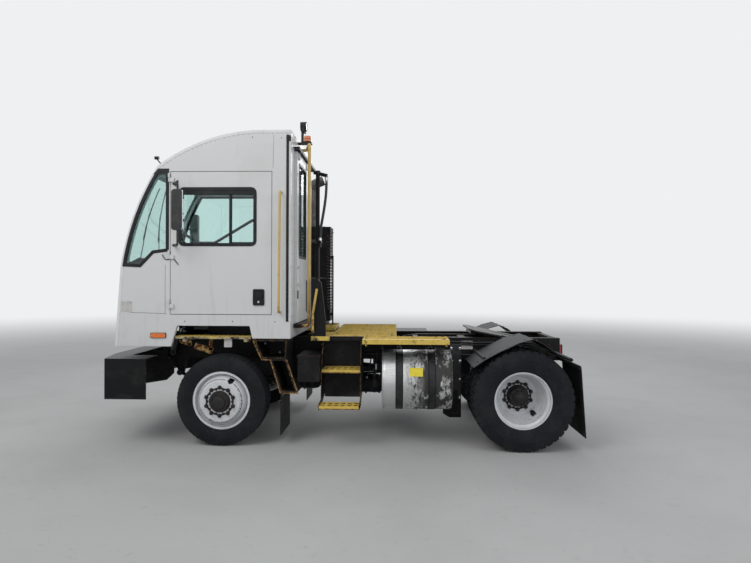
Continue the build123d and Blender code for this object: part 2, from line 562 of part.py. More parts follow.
def build_hood():
    w = PLATE
    top = HOOD_TOP_Z
    outline = [(HOOD_REAR_X, 1095), (480, 1095), (560, 1000), (HOOD_FRONT_X, 1000), (HOOD_FRONT_X, top - 140),
               (HOOD_FRONT_X - 110, top), (HOOD_REAR_X + 30, top), (HOOD_REAR_X, top - 30)]
    inside = [(HOOD_REAR_X + w, 900), (HOOD_FRONT_X - w, 900), (HOOD_FRONT_X - w, top - 145),
              (HOOD_FRONT_X - 116, top - w), (HOOD_REAR_X + 36, top - w), (HOOD_REAR_X + w, top - 35)]
    hood = side_prism(outline, HOOD_OUT_Y, HOOD_IN_Y) - side_prism(inside, HOOD_OUT_Y + w, HOOD_IN_Y - w)
    hood = hood + block(-300, 470, HOOD_IN_Y - w, HOOD_IN_Y, FRAME_TOP, 1096)
    hood = hood - block(400, RAIL_FRONT_X + 5, -RAIL_OUTER_Y - 8, HOOD_IN_Y + 12, 990, FRAME_TOP)
    x0, x1, y0, y1 = LID_HOLE
    hood = hood - block(x0, x1, y0, y1, top - 20, top + 20)
    hood = hood - block(HOOD_FRONT_X - 20, HOOD_FRONT_X + 1, *GRILLE_YS, *GRILLE_ZS)
    for index in range(LOUVRE_COUNT):
        x = HOOD_REAR_X + 120 + LOUVRE_PITCH * index
        hood = hood - block(x, x + 24, HOOD_OUT_Y - 1, HOOD_OUT_Y + w + 1, top - 390, top - 150)
    lid_z = top + SEAT_GAP
    lid = block(x0 - LID_LAP, x1 + LID_LAP, y0 - LID_LAP + 8, y1 + LID_LAP, lid_z, lid_z + w)
    for x in (x0 + 120, x1 - 120):
        hood = hood + block(x, x + 50, LID_HINGE_Y - 8, LID_HINGE_Y + 4, top - 1, LID_HINGE_Z)
        hood = hood + cyl_x(x, x + 50, LID_HINGE_Y, LID_HINGE_Z, LID_HINGE_R)
        hood = hood + cyl_x(x - 60, x + 1, LID_HINGE_Y, LID_HINGE_Z, 3)
        lid = lid + block(x - 60, x - 6, LID_HINGE_Y + 3, LID_HINGE_Y + 60, top + w, top + w + 8)
        lid = lid + cyl_x(x - 60, x - 6, LID_HINGE_Y, LID_HINGE_Z, LID_HINGE_R)
        lid = lid - cyl_x(x - 61, x - 5, LID_HINGE_Y, LID_HINGE_Z, 3 + SHAFT_GAP)
    lid = lid + block(250, 350, y1 - 6, y1 + 18, top + w, top + w + 24)
    keep("engine_hood", hood)
    keep("hood_lid", lid)

    y0, y1 = GRILLE_YS
    z0, z1 = GRILLE_ZS
    bars = block(HOOD_FRONT_X - w, HOOD_FRONT_X, y0, y1, z0, z1)
    bars = bars - block(HOOD_FRONT_X - w - 1, HOOD_FRONT_X + 1, y0 + 20, y1 - 20, z0 + 20, z1 - 20)
    pitch = (z1 - z0 - 40) / GRILLE_BARS
    for index in range(GRILLE_BARS):
        z = z0 + 20 + pitch * (index + 0.5)
        bars = bars + block(HOOD_FRONT_X - w, HOOD_FRONT_X, y0 + 10, y1 - 10, z - 8, z + 8)
    keep("grille", bars)


# Aftertreatment box with a slotted heat guard on its rear, and the upright exhaust.
BOX_XS = (-866.0, -520.0)
BOX_YS = (-946.0, -600.0)
BOX_TOP = 2410.0
GUARD_REAR_X = -914.0
GUARD_WALL = 4.0
SLOT_COUNT = 26
SLOT_PITCH = 40.0
SLOT_LOW_Z = 1320.0
PIPE_R = 63.5
PIPE_X = -636.0
PIPE_Y = -773.0
PIPE_BEND_Z = BOX_TOP + 575.0
PIPE_CLAMP_Z = BOX_TOP + 150.0


def build_aftertreatment():
    body = block(*BOX_XS, *BOX_YS, DECK_TOP, BOX_TOP)
    wall = GUARD_WALL
    y0, y1 = BOX_YS
    low = DECK_TOP + 60
    guard = block(GUARD_REAR_X, BOX_XS[0], y0, y1, low, BOX_TOP)
    guard = guard - block(GUARD_REAR_X + wall, BOX_XS[0] + 1, y0 + wall, y1 - wall, low - 1, BOX_TOP - wall)
    middle_y = (y0 + y1) / 2
    for index in range(SLOT_COUNT):
        z = SLOT_LOW_Z + SLOT_PITCH * index
        guard = guard - block(GUARD_REAR_X + 12, BOX_XS[0] - 10, y0 - 1, y1 + 1, z, z + 16)
        for y in (middle_y - 80, middle_y + 80):
            guard = guard - block(GUARD_REAR_X - 1, GUARD_REAR_X + wall + 1, y - 55, y + 55, z, z + 16)
    rail_x = GUARD_REAR_X - 30
    rail_y = y1 - 60
    handle = cyl_z(rail_x, rail_y, DECK_TOP, 2030, 10)
    for z in (1250.0, 2010.0):
        handle = handle + block(rail_x, GUARD_REAR_X, rail_y - 8, rail_y + 8, z - 18, z + 18)
    keep("aftertreatment_box", [body, guard, handle])

    route = [(PIPE_X, PIPE_Y, BOX_TOP), (PIPE_X, PIPE_Y, PIPE_BEND_Z),
             (PIPE_X - 164, PIPE_Y, PIPE_BEND_Z + 65)]
    pipe = tube_through(route, 110, PIPE_R, PIPE_R - 3.5)
    for z, height, radius in ((BOX_TOP, 14, PIPE_R + 26), (PIPE_CLAMP_Z, 30, PIPE_R + 7)):
        ring = cyl_z(PIPE_X, PIPE_Y, z, z + height, radius)
        pipe = pipe + (ring - cyl_z(PIPE_X, PIPE_Y, z - 1, z + height + 1, PIPE_R - 2))
    keep("exhaust_pipe", pipe)


# Deck sheets: low X, high X, low Y, high Y, all from the frame's top to the deck's top.
PLATFORM_XS = (-1000.0, -420.0)
TANK_DECK_FRONT_X = -1447.0
TANK_DECK_YS = (DECK_HALF_Y, HALF_WIDTH - 29.0)
LEDGE = (-285.0, 505.0, 880.0, 1055.0)
LEDGE_ZS = (1089.0, 1110.0)
DECK_SHEETS = (
    (DECK_REAR_X, DECK_FRONT_X, -DECK_HALF_Y, DECK_HALF_Y),
    (DECK_FRONT_X, -885.0, 352.0, 875.0),
    (TANK_REAR_X + 36.0, TANK_DECK_FRONT_X, TANK_DECK_YS[0], TANK_DECK_YS[1]),
    (PLATFORM_XS[0], -641.0, -1000.0, -352.0),
    (-559.0, PLATFORM_XS[1], -1000.0, -352.0),
    (-641.0, -559.0, -1000.0, -433.0),
)
BRACKET = 10.0


def build_decks():
    sheets = []
    for x0, x1, y0, y1 in DECK_SHEETS:
        sheets.append(block(x0, x1, y0, y1, FRAME_TOP, DECK_TOP))
    outline = [(RAIL_OUTER_Y, FRAME_TOP), (RAIL_OUTER_Y, 980), (700, 985), (1180, 1040), (1180, FRAME_TOP)]
    for x in (TANK_DECK_FRONT_X - 33, TANK_REAR_X + 64):
        sheets.append(front_prism(outline, x - BRACKET / 2, x + BRACKET / 2))
    outline = [(RAIL_OUTER_Y, FRAME_TOP), (RAIL_OUTER_Y, 960), (830, 1040), (830, FRAME_TOP)]
    for share in (0.056, 0.563):
        x = DECK_FRONT_X + share * (DECK_REAR_X - DECK_FRONT_X)
        sheets.append(mirrored(front_prism(outline, x - BRACKET / 2, x + BRACKET / 2)))
    x0, x1, y0, y1 = LEDGE
    sheets.append(block(x0, x1, y0, y1, LEDGE_ZS[0], LEDGE_ZS[1]))
    for x in (x0 + 45, x1 - 105):
        sheets.append(block(x - 25, x + 25, 352, y1 - 5, FRAME_TOP, LEDGE_ZS[0]))
    keep("deck_plates", sheets + build_steps())


# The deck's ladder and the cab's steps. A tread is (low Y, high Y, low Z).
LADDER_XS = (-1420.0, -1010.0)
LADDER_SHEET = 6.0
TREADS = ((1008.0, HALF_WIDTH, 410.0), (730.0, 1000.0, 738.0))
TREAD_THICK = 30.0
TREAD_SLOTS = 6


def build_steps():
    x0, x1 = LADDER_XS
    outline = [(RAIL_OUTER_Y, FRAME_TOP), (RAIL_OUTER_Y, 560), (1000, 400), (HALF_WIDTH, 400),
               (HALF_WIDTH, 455), (1030, 470), (1005, 790), (850, FRAME_TOP)]
    ladder = front_prism(outline, x0, x0 + LADDER_SHEET) + front_prism(outline, x1 - LADDER_SHEET, x1)
    inner0 = x0 + LADDER_SHEET - 1
    inner1 = x1 - LADDER_SHEET + 1
    ladder = ladder + block(inner0, inner1, 1000, 1008, 405, 435) + block(inner0, inner1, 722, 730, 440, 1055)
    treads = []
    for y0, y1, z in TREADS:
        tread = block(x0 + LADDER_SHEET, x1 - LADDER_SHEET, y0, y1, z, z + TREAD_THICK)
        pitch = (x1 - x0 - 2 * LADDER_SHEET) / TREAD_SLOTS
        for row in (0.3, 0.7):
            y = y0 + (y1 - y0) * row
            for index in range(TREAD_SLOTS):
                x = x0 + LADDER_SHEET + pitch * (index + 0.5)
                tread = tread - block(x - 20, x + 20, y - 22, y + 22, z - 1, z + TREAD_THICK + 1)
        treads.append(tread)

    outline = [(-315, 1085), (-404, 886), (-497, 881), (-601, 542), (-771, 542), (-652, 882), (-663, 1085)]
    unit = side_prism(outline, 700, CAB_LEFT_Y - 5)
    unit = unit - side_prism([(-340, 1070), (-415, 900), (-640, 900), (-648, 1070)], 715, CAB_LEFT_Y)
    unit = unit - side_prism([(-512, 868), (-612, 558), (-750, 558), (-642, 868)], 715, CAB_LEFT_Y)
    unit = unit + block(-600, -450, RAIL_OUTER_Y, 701, 960, 1010)
    route = [(-907, 870, 1150), (-907, 905, 1150), (-907, 905, 1345), (-950, 905, 1609)]
    handle = tube_through(route, [20, 60], 13)
    keep("access_steps", [ladder, unit, handle])
    return treads


def build_side_boxes():
    box = block(-1005, -783, 640, 1100, 664, 905)
    lid = block(-1009, -777, 634, 1106, 905, 929)
    stays = [block(x - 20, x + 20, RAIL_OUTER_Y, 640, 850, 900) for x in (-980, -810)]
    crate = block(PLATFORM_XS[0], PLATFORM_XS[0] + 185, -1000, -700, FRAME_TOP - 112, FRAME_TOP)
    keep("battery_box", [box, lid, crate] + stays)
    tank = block(TANK_REAR_X + 154, -1500, -1100, -RAIL_OUTER_Y, 560, 1040)
    tank = fillet(tank.edges().filter_by(Axis.X), 40)
    keep("side_tank", tank)


def build_fuel_tank():
    tank = cyl_x(TANK_REAR_X, TANK_FRONT_X, TANK_Y, TANK_Z, TANK_R)
    tank = fillet(tank.edges(), 28)
    for x in (TANK_REAR_X, TANK_FRONT_X):
        tank = tank - Pos(x, TANK_Y, TANK_Z) * Rot(0, 90, 0) * Cylinder(TANK_R - 45, 16)
    neck_x = TANK_REAR_X + 124
    neck_top = TANK_Z + TANK_R + 45
    neck = cyl_z(neck_x, TANK_Y + 60, TANK_Z + TANK_R - 20, neck_top, 45)
    neck = neck + cyl_z(neck_x, TANK_Y + 60, neck_top - 24, neck_top, 52)
    keep("fuel_tank", tank + neck)
    straps = []
    for share in STRAP_SHARES:
        x = TANK_FRONT_X - share * TANK_LENGTH
        half = STRAP_WIDTH / 2
        band = cyl_x(x - half, x + half, TANK_Y, TANK_Z, TANK_R + SEAT_GAP + 4)
        saddle = block(x - half, x + half, RAIL_OUTER_Y, TANK_Y, TANK_Z - TANK_R - 12, FRAME_TOP - 120)
        saddle = saddle - block(x - 50, x + 50, RAIL_OUTER_Y + 20, TANK_Y + 1, TANK_Z + 60, FRAME_TOP)
        straps.append(band + saddle - cyl_x(x - 60, x + 60, TANK_Y, TANK_Z, TANK_R + SEAT_GAP))
    guard_x = REAR_TYRE_FRONT_X + 41
    guard = block(guard_x, guard_x + 120, 600, 606, 330, FRAME_TOP - 60)
    guard = guard - block(guard_x + 38, guard_x + 88, 599, 607, 400, 500)
    guard = guard + block(guard_x, guard_x + 120, RAIL_OUTER_Y, 601, 860, 900)
    keep("tank_straps", straps + [guard])


# Rear fender sheet: degrees up from the front of the wheel, clearance over the tyre
FENDER_LINE = ((33.6, 93.0), (47.4, 56.0), (63.4, 40.0), (85.6, 77.0), (98.5, 118.0), (108.3, 98.0),
               (123.3, 70.0), (139.4, 123.0))


def fender_point(row, drop=0.0):
    degrees, clearance = FENDER_LINE[row]
    radius = REAR_TYRE_R + clearance - drop
    angle = math.radians(degrees)
    return REAR_AXLE_X + radius * math.cos(angle), REAR_TYRE_R + radius * math.sin(angle)


def build_fenders():
    rows = range(len(FENDER_LINE))
    sheet = [fender_point(row) for row in rows] + [fender_point(row, FENDER_SHEET) for row in reversed(rows)]
    fender = side_prism(sheet, FENDER_INNER_Y, FENDER_OUTER_Y)
    for row in (1, 7):
        x, z = fender_point(row, FENDER_SHEET / 2)
        fender = fender + cyl_y(x, RAIL_OUTER_Y, FENDER_OUTER_Y - 60, z, FENDER_TUBE_R)
    keep("rear_fenders", both_sides(fender))

    y1 = HALF_WIDTH - 29
    lean = 49.0
    thick = 6.0
    outline = [(FLAP_X, 850), (FLAP_X + thick, 850), (FLAP_X + thick - lean, 146), (FLAP_X - lean, 146)]
    rear = side_prism(outline, 550, y1)
    bar = block(FLAP_X + thick, FLAP_X + 22, RAIL_OUTER_Y, y1, 824, 862)
    front = block(-612, -606, 600, 1100, 111, 542)
    stay = block(-640, -580, -1000, -960, 542, FRAME_TOP)
    keep("mudflaps", both_sides([rear, bar]) + [front, mirrored(front), stay])


# Cab shell: the side outline is straight at the front and rear, with arcs at the windscreen and roof.
def cab_curve(y):
    belt = (BELT_X, y, BELT_Z)
    knee = (KNEE_X, y, KNEE_Z)
    roof = (ROOF_FRONT_X, y, ROOF_Z - 2)
    return [
        Line((CAB_NOSE_X, y, CAB_SKIRT_Z), belt),
        ThreePointArc(belt, (SCREEN_X, y, SCREEN_Z), knee),
        ThreePointArc(knee, (CROWN_X, y, CROWN_Z), roof),
        Line(roof, (CAB_REAR_X, y, ROOF_Z)),
    ]


def cab_block(y0, y1, inset=0.0):
    closing = Polyline((CAB_REAR_X, y0, ROOF_Z), (CAB_REAR_X, y0, CAB_SKIRT_Z), (CAB_NOSE_X, y0, CAB_SKIRT_Z))
    face = make_face(cab_curve(y0) + [closing])
    if inset:
        face = offset(face, amount=-inset, kind=Kind.INTERSECTION)
    return extrude(face, amount=y1 - y0, dir=(0, 1, 0))


# The wheel arch cut from the left wall and the front quarter window, as (X, Z) points.
LEFT_ARCH = ((545, 900), (545, 1010), (480, 1225), (-276, 1225), (-305, CAB_REAR_SKIRT_Z),
             (CAB_REAR_X - 1, CAB_REAR_SKIRT_Z), (CAB_REAR_X - 1, 900))
QUARTER_WINDOW = ((582, 2835), (582, 2004), (734, 1983), (871, 1840), (1100, 1850), (1100, 2835))
QUARTER_INSET = 32.0
# Openings as (low, high) pairs: along the wall, then up.
DOOR_WINDOW = (-330.0, 455.0, 2062.0, 2640.0)
WINDSCREEN = (-250.0, 970.0, 1870.0, 2790.0)
REAR_DOORWAY = (200.0, 790.0, 1300.0, 3020.0)
REAR_DOOR = (140.0, 850.0, 1245.0, 3070.0)
REAR_WINDOW = (285.0, 746.0, 1950.0, 2960.0)
REAR_DOOR_THICK = 30.0


def quarter_tool():
    return side_prism(QUARTER_WINDOW, 900, 1200) & cab_block(900, 1200, QUARTER_INSET)


def build_cab():
    w = CAB_WALL
    left_y = CAB_INNER_LEFT_Y
    right_y = CAB_INNER_RIGHT_Y
    door_cut = block(DOOR_REAR_X - DOOR_GAP, DOOR_FRONT_X + DOOR_GAP, 900, 1200,
                     DOOR_LOW_Z - DOOR_GAP, DOOR_HIGH_Z + DOOR_GAP)
    left = cab_block(left_y, CAB_LEFT_Y) - side_prism(LEFT_ARCH, 1000, 1100) - door_cut - quarter_tool()
    leaf_x = DOOR_FRONT_X + DOOR_GAP + 1
    for z in HINGE_ZS:
        left = left + block(leaf_x, HINGE_X + 14, CAB_LEFT_Y - 1, HINGE_Y - 2, z + 3, z + 45)
        left = left + cyl_z(HINGE_X, HINGE_Y, z + 3, z + 45, HINGE_R)
        left = left + cyl_z(HINGE_X, HINGE_Y, z - 45, z + 4, HINGE_PIN_R)
    keep("cab_left_wall", left)

    x0, x1, z0, z1 = DOOR_WINDOW
    right_window = block(x0, x1, CAB_RIGHT_Y - 60, right_y + 100, z0, z1)
    skirt_cut = block(CAB_REAR_X - 100, CAB_NOSE_X + 66, -400, -200, 900, CAB_RIGHT_SKIRT_Z)
    keep("cab_right_wall", cab_block(CAB_RIGHT_Y, right_y) - skirt_cut - right_window)

    shell = cab_block(right_y, left_y) - cab_block(right_y, left_y, w)
    rear = shell & block(CAB_REAR_X - 1, CAB_REAR_X + w, right_y, left_y, CAB_REAR_SKIRT_Z, ROOF_Z + 10)
    y0, y1, z0, z1 = REAR_DOORWAY
    rear = rear - block(CAB_REAR_X - 1, CAB_REAR_X + w + 1, y0, y1, z0, z1)
    rear = rear + block(CAB_REAR_X - 90, CAB_REAR_X, CAB_RIGHT_Y, 900, 1195, 1235)
    rear = rear + block(CAB_REAR_X - 60, CAB_REAR_X, CAB_RIGHT_Y, 900, 3080, 3110)
    keep("cab_rear_wall", rear)

    screen = block(400, 1300, *WINDSCREEN)
    front = shell & block(600, 1200, right_y, left_y, CAB_SKIRT_Z, ROOF_SPLIT_Z)
    front = front - block(600, 1040, right_y - 100, left_y + 100, 900, 1400)
    keep("cab_front_wall", front - screen)
    keep("cab_roof", shell & block(CAB_REAR_X + w, 1200, right_y, left_y, ROOF_SPLIT_Z, ROOF_Z + 10))
    floor = block(CAB_REAR_X + w, 1200, right_y, left_y, CAB_FLOOR_UNDER, CAB_FLOOR_TOP)
    floor = floor & cab_block(right_y, left_y, w)
    for y in CAB_PIVOT_YS:
        lug = block(CAB_PIVOT_X - 30, CAB_PIVOT_X + 30, y - 15, y + 15, CAB_PIVOT_Z, CAB_FLOOR_UNDER + 1)
        lug = lug + cyl_y(CAB_PIVOT_X, y - 15, y + 15, CAB_PIVOT_Z, 30)
        floor = floor + lug - cyl_y(CAB_PIVOT_X, y - 16, y + 16, CAB_PIVOT_Z, CAB_PIVOT_R + SHAFT_GAP)
    x = TILT_HIGH_X
    lift_lug = block(x - 30, x + 30, TILT_Y + 24, TILT_Y + 36, TILT_HIGH_Z, CAB_FLOOR_UNDER + 1)
    lift_lug = lift_lug + cyl_y(x, TILT_Y + 24, TILT_Y + 36, TILT_HIGH_Z, 30)
    lift_lug = lift_lug + cyl_y(x, TILT_Y - 20, TILT_Y + 30, TILT_HIGH_Z, 12)
    stand = block(-320, 60, 500, 840, CAB_FLOOR_TOP - 1, SEAT_LOW - SEAT_GAP)
    keep("cab_floor", floor + lift_lug + stand)

    mid = CAB_WALL / 2
    pane = GLASS / 2
    x0, x1, z0, z1 = DOOR_WINDOW
    glass = (cab_block(right_y, left_y, 17) - cab_block(right_y, left_y, 17 + GLASS)) & screen
    quarter = quarter_tool() & block(400, 1200, CAB_LEFT_Y - mid - pane, CAB_LEFT_Y - mid + pane, 1800, 2900)
    right_pane = block(x0, x1, CAB_RIGHT_Y + mid - pane, CAB_RIGHT_Y + mid + pane, z0, z1)
    keep("cab_windows", [glass, quarter, right_pane])


# Door mirror: a head on an upright tube between two bent arms.
MIRROR_X = 405.0
MIRROR_Y = 1250.0
MIRROR_ZS = (2053.0, 2683.0)


def build_doors():
    inner = CAB_INNER_LEFT_Y
    x0, x1, z0, z1 = DOOR_WINDOW
    leaf = block(DOOR_REAR_X, DOOR_FRONT_X, inner, CAB_LEFT_Y, DOOR_LOW_Z, DOOR_HIGH_Z)
    leaf = leaf - block(x0, x1, inner - 1, CAB_LEFT_Y + 1, z0, z1)
    for z in HINGE_ZS:
        leaf = leaf + block(DOOR_FRONT_X - 38, DOOR_FRONT_X, CAB_LEFT_Y - 1, HINGE_Y + 2, z - 45, z - 3)
        leaf = leaf + block(DOOR_FRONT_X - 1, HINGE_X, HINGE_Y - 6, HINGE_Y + 2, z - 45, z - 3)
        leaf = leaf + cyl_z(HINGE_X, HINGE_Y, z - 45, z - 3, HINGE_R)
        leaf = leaf - cyl_z(HINGE_X, HINGE_Y, z - 46, z - 2, HINGE_PIN_R + SHAFT_GAP)
    keep("cab_door", leaf)
    mid = CAB_LEFT_Y - CAB_WALL / 2
    keep("cab_door_glass", block(x0, x1, mid - GLASS / 2, mid + GLASS / 2, z0, z1))
    low, high = MIRROR_ZS
    head = block(MIRROR_X - 55, MIRROR_X + 55, MIRROR_Y - 25, MIRROR_Y + 25, low + 140, high - 80)
    head = fillet(head.edges().filter_by(Axis.Y), 30)
    arms = cyl_z(MIRROR_X, MIRROR_Y, low - 10, high + 10, 10)
    for z in MIRROR_ZS:
        arms = arms + cyl_y(500, CAB_LEFT_Y, CAB_LEFT_Y + 50, z, 14)
        arms = arms + rod((500, CAB_LEFT_Y + 45, z), (MIRROR_X, MIRROR_Y, z), 10)
    keep("door_mirror", head + arms)

    y0, y1, z0, z1 = REAR_DOOR
    face = CAB_REAR_X - SEAT_GAP
    back = face - REAR_DOOR_THICK
    door = block(back, face, y0, y1, z0, z1)
    door = door - block(back - 1, face + 1, *REAR_WINDOW)
    handle_y = y1 - 40
    for z in (1640.0, 1840.0):
        door = door + cyl_x(back - 34, back + 1, handle_y, z, 8)
    door = door + cyl_z(back - 30, handle_y, 1625, 1855, 9)
    for y in (y0 + 80, y1 - 80):
        door = door + block(back - 12, back + 1, y - 30, y + 30, z1 - 70, z1 - 6)
    keep("rear_door", door)
    keep("rear_door_glass", block(face - 18, face - 12, *REAR_WINDOW))


SEAT_LOW = CAB_FLOOR_TOP + 380.0
SEAT_Y = 670.0
WHEEL_PLACE = (560.0, SEAT_Y, 2040.0)
WHEEL_AIM = (-240.0, 0.0, 190.0)


def build_cab_fittings():
    seat = block(-380, 120, SEAT_Y - 250, SEAT_Y + 250, SEAT_LOW, SEAT_LOW + 120)
    back = block(-480, -360, SEAT_Y - 240, SEAT_Y + 240, SEAT_LOW + 60, SEAT_LOW + 800)
    keep("driver_seat", fillet(seat.edges(), 40) + fillet(back.edges(), 40))
    dash = side_prism([(1035, 1500), (1035, 1860), (900, 1930), (780, 1900), (760, 1760), (900, 1500)],
                      CAB_INNER_RIGHT_Y, CAB_INNER_LEFT_Y)
    dash = dash & cab_block(CAB_INNER_RIGHT_Y, CAB_INNER_LEFT_Y, CAB_WALL)
    keep("dashboard", dash)
    plane = Plane(origin=WHEEL_PLACE, z_dir=WHEEL_AIM)
    column = rod((800, SEAT_Y, 1850), WHEEL_PLACE, 35) - dash
    spokes = plane * (Box(410, 40, 12) + Box(40, 410, 12) + Cylinder(45, 30))
    keep("steering_wheel", plane * Torus(210, 15) + spokes + column)

    route = [(CAB_REAR_X, 480, 3165), (-770, 480, 3165), (-850, 800, 3165), (-850, 800, 1290),
             (-850, 870, 1215), (-790, 870, 1215)]
    rear_rail = tube_through(route, [40, 60, 40, 25], 17)
    out = CAB_LEFT_Y + 70
    route = [(-600, CAB_LEFT_Y, 2600), (-600, out, 2600), (-590, out, 1370), (-590, CAB_LEFT_Y, 1370)]
    grab = tube_through(route, [30, 30], 12)
    keep("grab_rails", [rear_rail, grab])

    marker = block(597, 755, CAB_LEFT_Y, CAB_LEFT_Y + 14, 1100, 1146)
    marker = fillet(marker.edges().filter_by(Axis.Y), 18)
    shelf = block(-850, CAB_REAR_X, 580, 670, 3200, 3212)
    work = cyl_x(-790, -730, 620, 3395, 50) + cyl_z(-745, 620, 3211, 3350, 15)
    beacon = cyl_z(-802, 625, 3211, 3226, 45) + cyl_z(-802, 625, 3225, 3285, 38)
    sensor = rod((KNEE_X - 10, 960, KNEE_Z + 20), (742, 960, 2972), 6) + cyl_x(720, 762, 960, 2982, 17)
    sensor = sensor - cab_block(900, 1000)
    keep("cab_lamps", [marker, shelf + work + beacon, sensor])
    head = block(820, 930, CAB_RIGHT_Y - 220, CAB_RIGHT_Y - 170, 2150, 2560)
    head = fillet(head.edges().filter_by(Axis.Y), 25)
    arms = cyl_y(900, CAB_RIGHT_Y, CAB_RIGHT_Y - 60, 2360, 14)
    arms = arms + rod((900, CAB_RIGHT_Y - 56, 2360), (875, CAB_RIGHT_Y - 180, 2360), 12)
    keep("right_mirror", head + arms)


# Air hoses: where each hangs across the machine, and its route as (X, Z) from the mast's arm down.
HOSE_YS = {"air_hose_left": 30.0, "air_hose_right": -30.0}
HOSE_ROUTE = ((-936, 2949.7), (-936, 2790), (-914, 2600), (-885, 2430), (-862, 2300), (-862, 2175))
HOSE_R = 12.0


def hose_radii(points):
    radii = []
    for before, corner, after in zip(points, points[1:], points[2:]):
        run_in = Vector(*corner) - Vector(*before)
        run_out = Vector(*after) - Vector(*corner)
        turn = math.radians(run_in.get_angle(run_out))
        radii.append(0.45 * min(run_in.length, run_out.length) / math.tan(turn / 2))
    return radii


def build_mast():
    base = block(-880, -780, HOOD_IN_Y, RAIL_OUTER_Y, FRAME_TOP, FRAME_TOP + 30)
    pole = cyl_z(-830, 0, FRAME_TOP + 20, 3000, 25)
    arm = rod((-780, 0, 3011), (-945, 0, 2970), 22) + block(-950, -920, -48, 48, 2950, 2966)
    bracket = block(-880, -830, -70, 70, 2150, 2175)
    stanchion = side_prism([(-885, DECK_TOP), (-885, 1715), (-950, 1715), (-991, 1672), (-1039, 1279),
                            (-1039, DECK_TOP)], 845, 870)
    keep("hose_mast", [base + pole + arm + bracket, stanchion])
    for name, y in HOSE_YS.items():
        points = [(x, y, z) for x, z in HOSE_ROUTE]
        keep(name, tube_through(points, hose_radii(points), HOSE_R))


# The boom's two arms with their cross beams, and the fifth wheel plate with its ears and ribs.
ARM_YS = (250.0, 315.0)
EAR_YS = (205.0, 240.0)


def build_boom():
    px, pz = BOOM_PIVOT_X, BOOM_PIVOT_Z
    qx, qz = PLATE_PIN_X, PLATE_PIN_Z
    y0, y1 = ARM_YS
    outline = [(px + 20, pz - 50), (px + 20, pz + 50), (px - 150, qz + 35), (qx + 200, qz + 35),
               (qx, qz + 38), (qx - 20, qz), (qx, qz - 40), (qx + 200, qz - 95), (px - 150, qz - 95)]
    arm = side_prism(outline, y0, y1)
    arm = arm + cyl_y(px, y0, y1, pz, 55) + cyl_y(qx, y0, y1, qz, 40)
    arm = arm - cyl_y(px, y0 - 1, y1 + 1, pz, BOOM_PIVOT_R + SHAFT_GAP)
    arm = arm - cyl_y(qx, y0 - 1, y1 + 1, qz, PLATE_PIN_R + SHAFT_GAP)
    boom = arm + mirrored(arm)
    boom = boom + block(px - 150, px - 90, -y0 - 1, y0 + 1, qz - 85, qz + 25)
    boom = boom + block(qx + 280, qx + 360, -y0 - 1, y0 + 1, qz - 40, qz + 25)
    keep("lift_boom", boom + cyl_y(LIFT_HIGH_X, -y0 - 5, y0 + 5, LIFT_HIGH_Z, 20))

    top = PLATE_RISE
    under = top - PLATE_THICK
    half = [(300, 280), (240, 430), (-50, 430), (-75, 330), (-330, 310), (-400, 230), (-400, 130), (-80, 30)]
    outline = half + [(x, -y) for x, y in reversed(half)]
    plate = plan_prism(outline, under, top)
    plate = plate - cyl_z(-20, 0, top - 40, top + 1, KINGPIN_BORE_R)
    plate = plate - block(-100, -20, -KINGPIN_BORE_R, KINGPIN_BORE_R, 0, top + 1)
    plate = plate + block(246, 260, -200, 200, top - 60, under + 1)
    for side in (LEFT, RIGHT):
        y0, y1 = sorted((side * EAR_YS[0], side * EAR_YS[1]))
        plate = plate + side_prism([(-120, under + 1), (-40, -20), (40, -20), (120, under + 1)], y0, y1)
        plate = plate + cyl_y(0, y0, y1, 0, 42)
        plate = plate + cyl_y(0, side * EAR_YS[0], side * (ARM_YS[1] + 3), 0, PLATE_PIN_R)
        y0, y1 = sorted((side * 60, side * 74))
        plate = plate + block(-70, 260, y0, y1, top - 60, under + 1)
    keep("fifth_wheel", Pos(qx, 0, qz) * Rot(0, -PLATE_REST_TILT, 0) * plate)


# Rams, drawn from the lower pin to the upper pin. The slack is a rod eye's room round its pin.
Ram = namedtuple("Ram", "low high y bore_r rod_r low_pin high_pin slack eye_half")
LIFT_RAM = Ram((LIFT_LOW_X, LIFT_LOW_Z), (LIFT_HIGH_X, LIFT_HIGH_Z), LIFT_Y, 52, 32, 22, 20, 5, 26)
TILT_RAM = Ram((TILT_LOW_X, TILT_LOW_Z), (TILT_HIGH_X, TILT_HIGH_Z), TILT_Y, 38, 20, 16, 12, 9, 18)


def ram_pair(ram):
    low, high, y, bore_r, rod_r, low_pin, high_pin, slack, eye_half = ram
    start = Vector(low[0], y, low[1])
    end = Vector(high[0], y, high[1])
    way = (end - start).normalized()
    length = (end - start).length

    def at(distance):
        return tuple(start + way * distance)

    body_end = length - 75
    barrel = rod(at(30), at(body_end), bore_r)
    barrel = barrel + cyl_y(low[0], y - eye_half, y + eye_half, low[1], low_pin + 20)
    barrel = barrel - rod(at(60), at(body_end + 1), rod_r + SEAT_GAP)
    barrel = barrel - cyl_y(low[0], y - eye_half - 1, y + eye_half + 1, low[1], low_pin + SHAFT_GAP)
    piston = rod(at(70), at(length), rod_r)
    piston = piston + cyl_y(high[0], y - eye_half, y + eye_half, high[1], high_pin + slack + 14)
    reach = eye_half + rod_r
    piston = piston - cyl_y(high[0], y - reach, y + reach, high[1], high_pin + slack)
    return barrel, piston


def build_cylinders():
    barrel, piston = ram_pair(LIFT_RAM)
    keep("lift_barrels", both_sides(barrel))
    keep("lift_rods", both_sides(piston))
    barrel, piston = ram_pair(TILT_RAM)
    keep("tilt_barrel", barrel)
    keep("tilt_rod", piston)


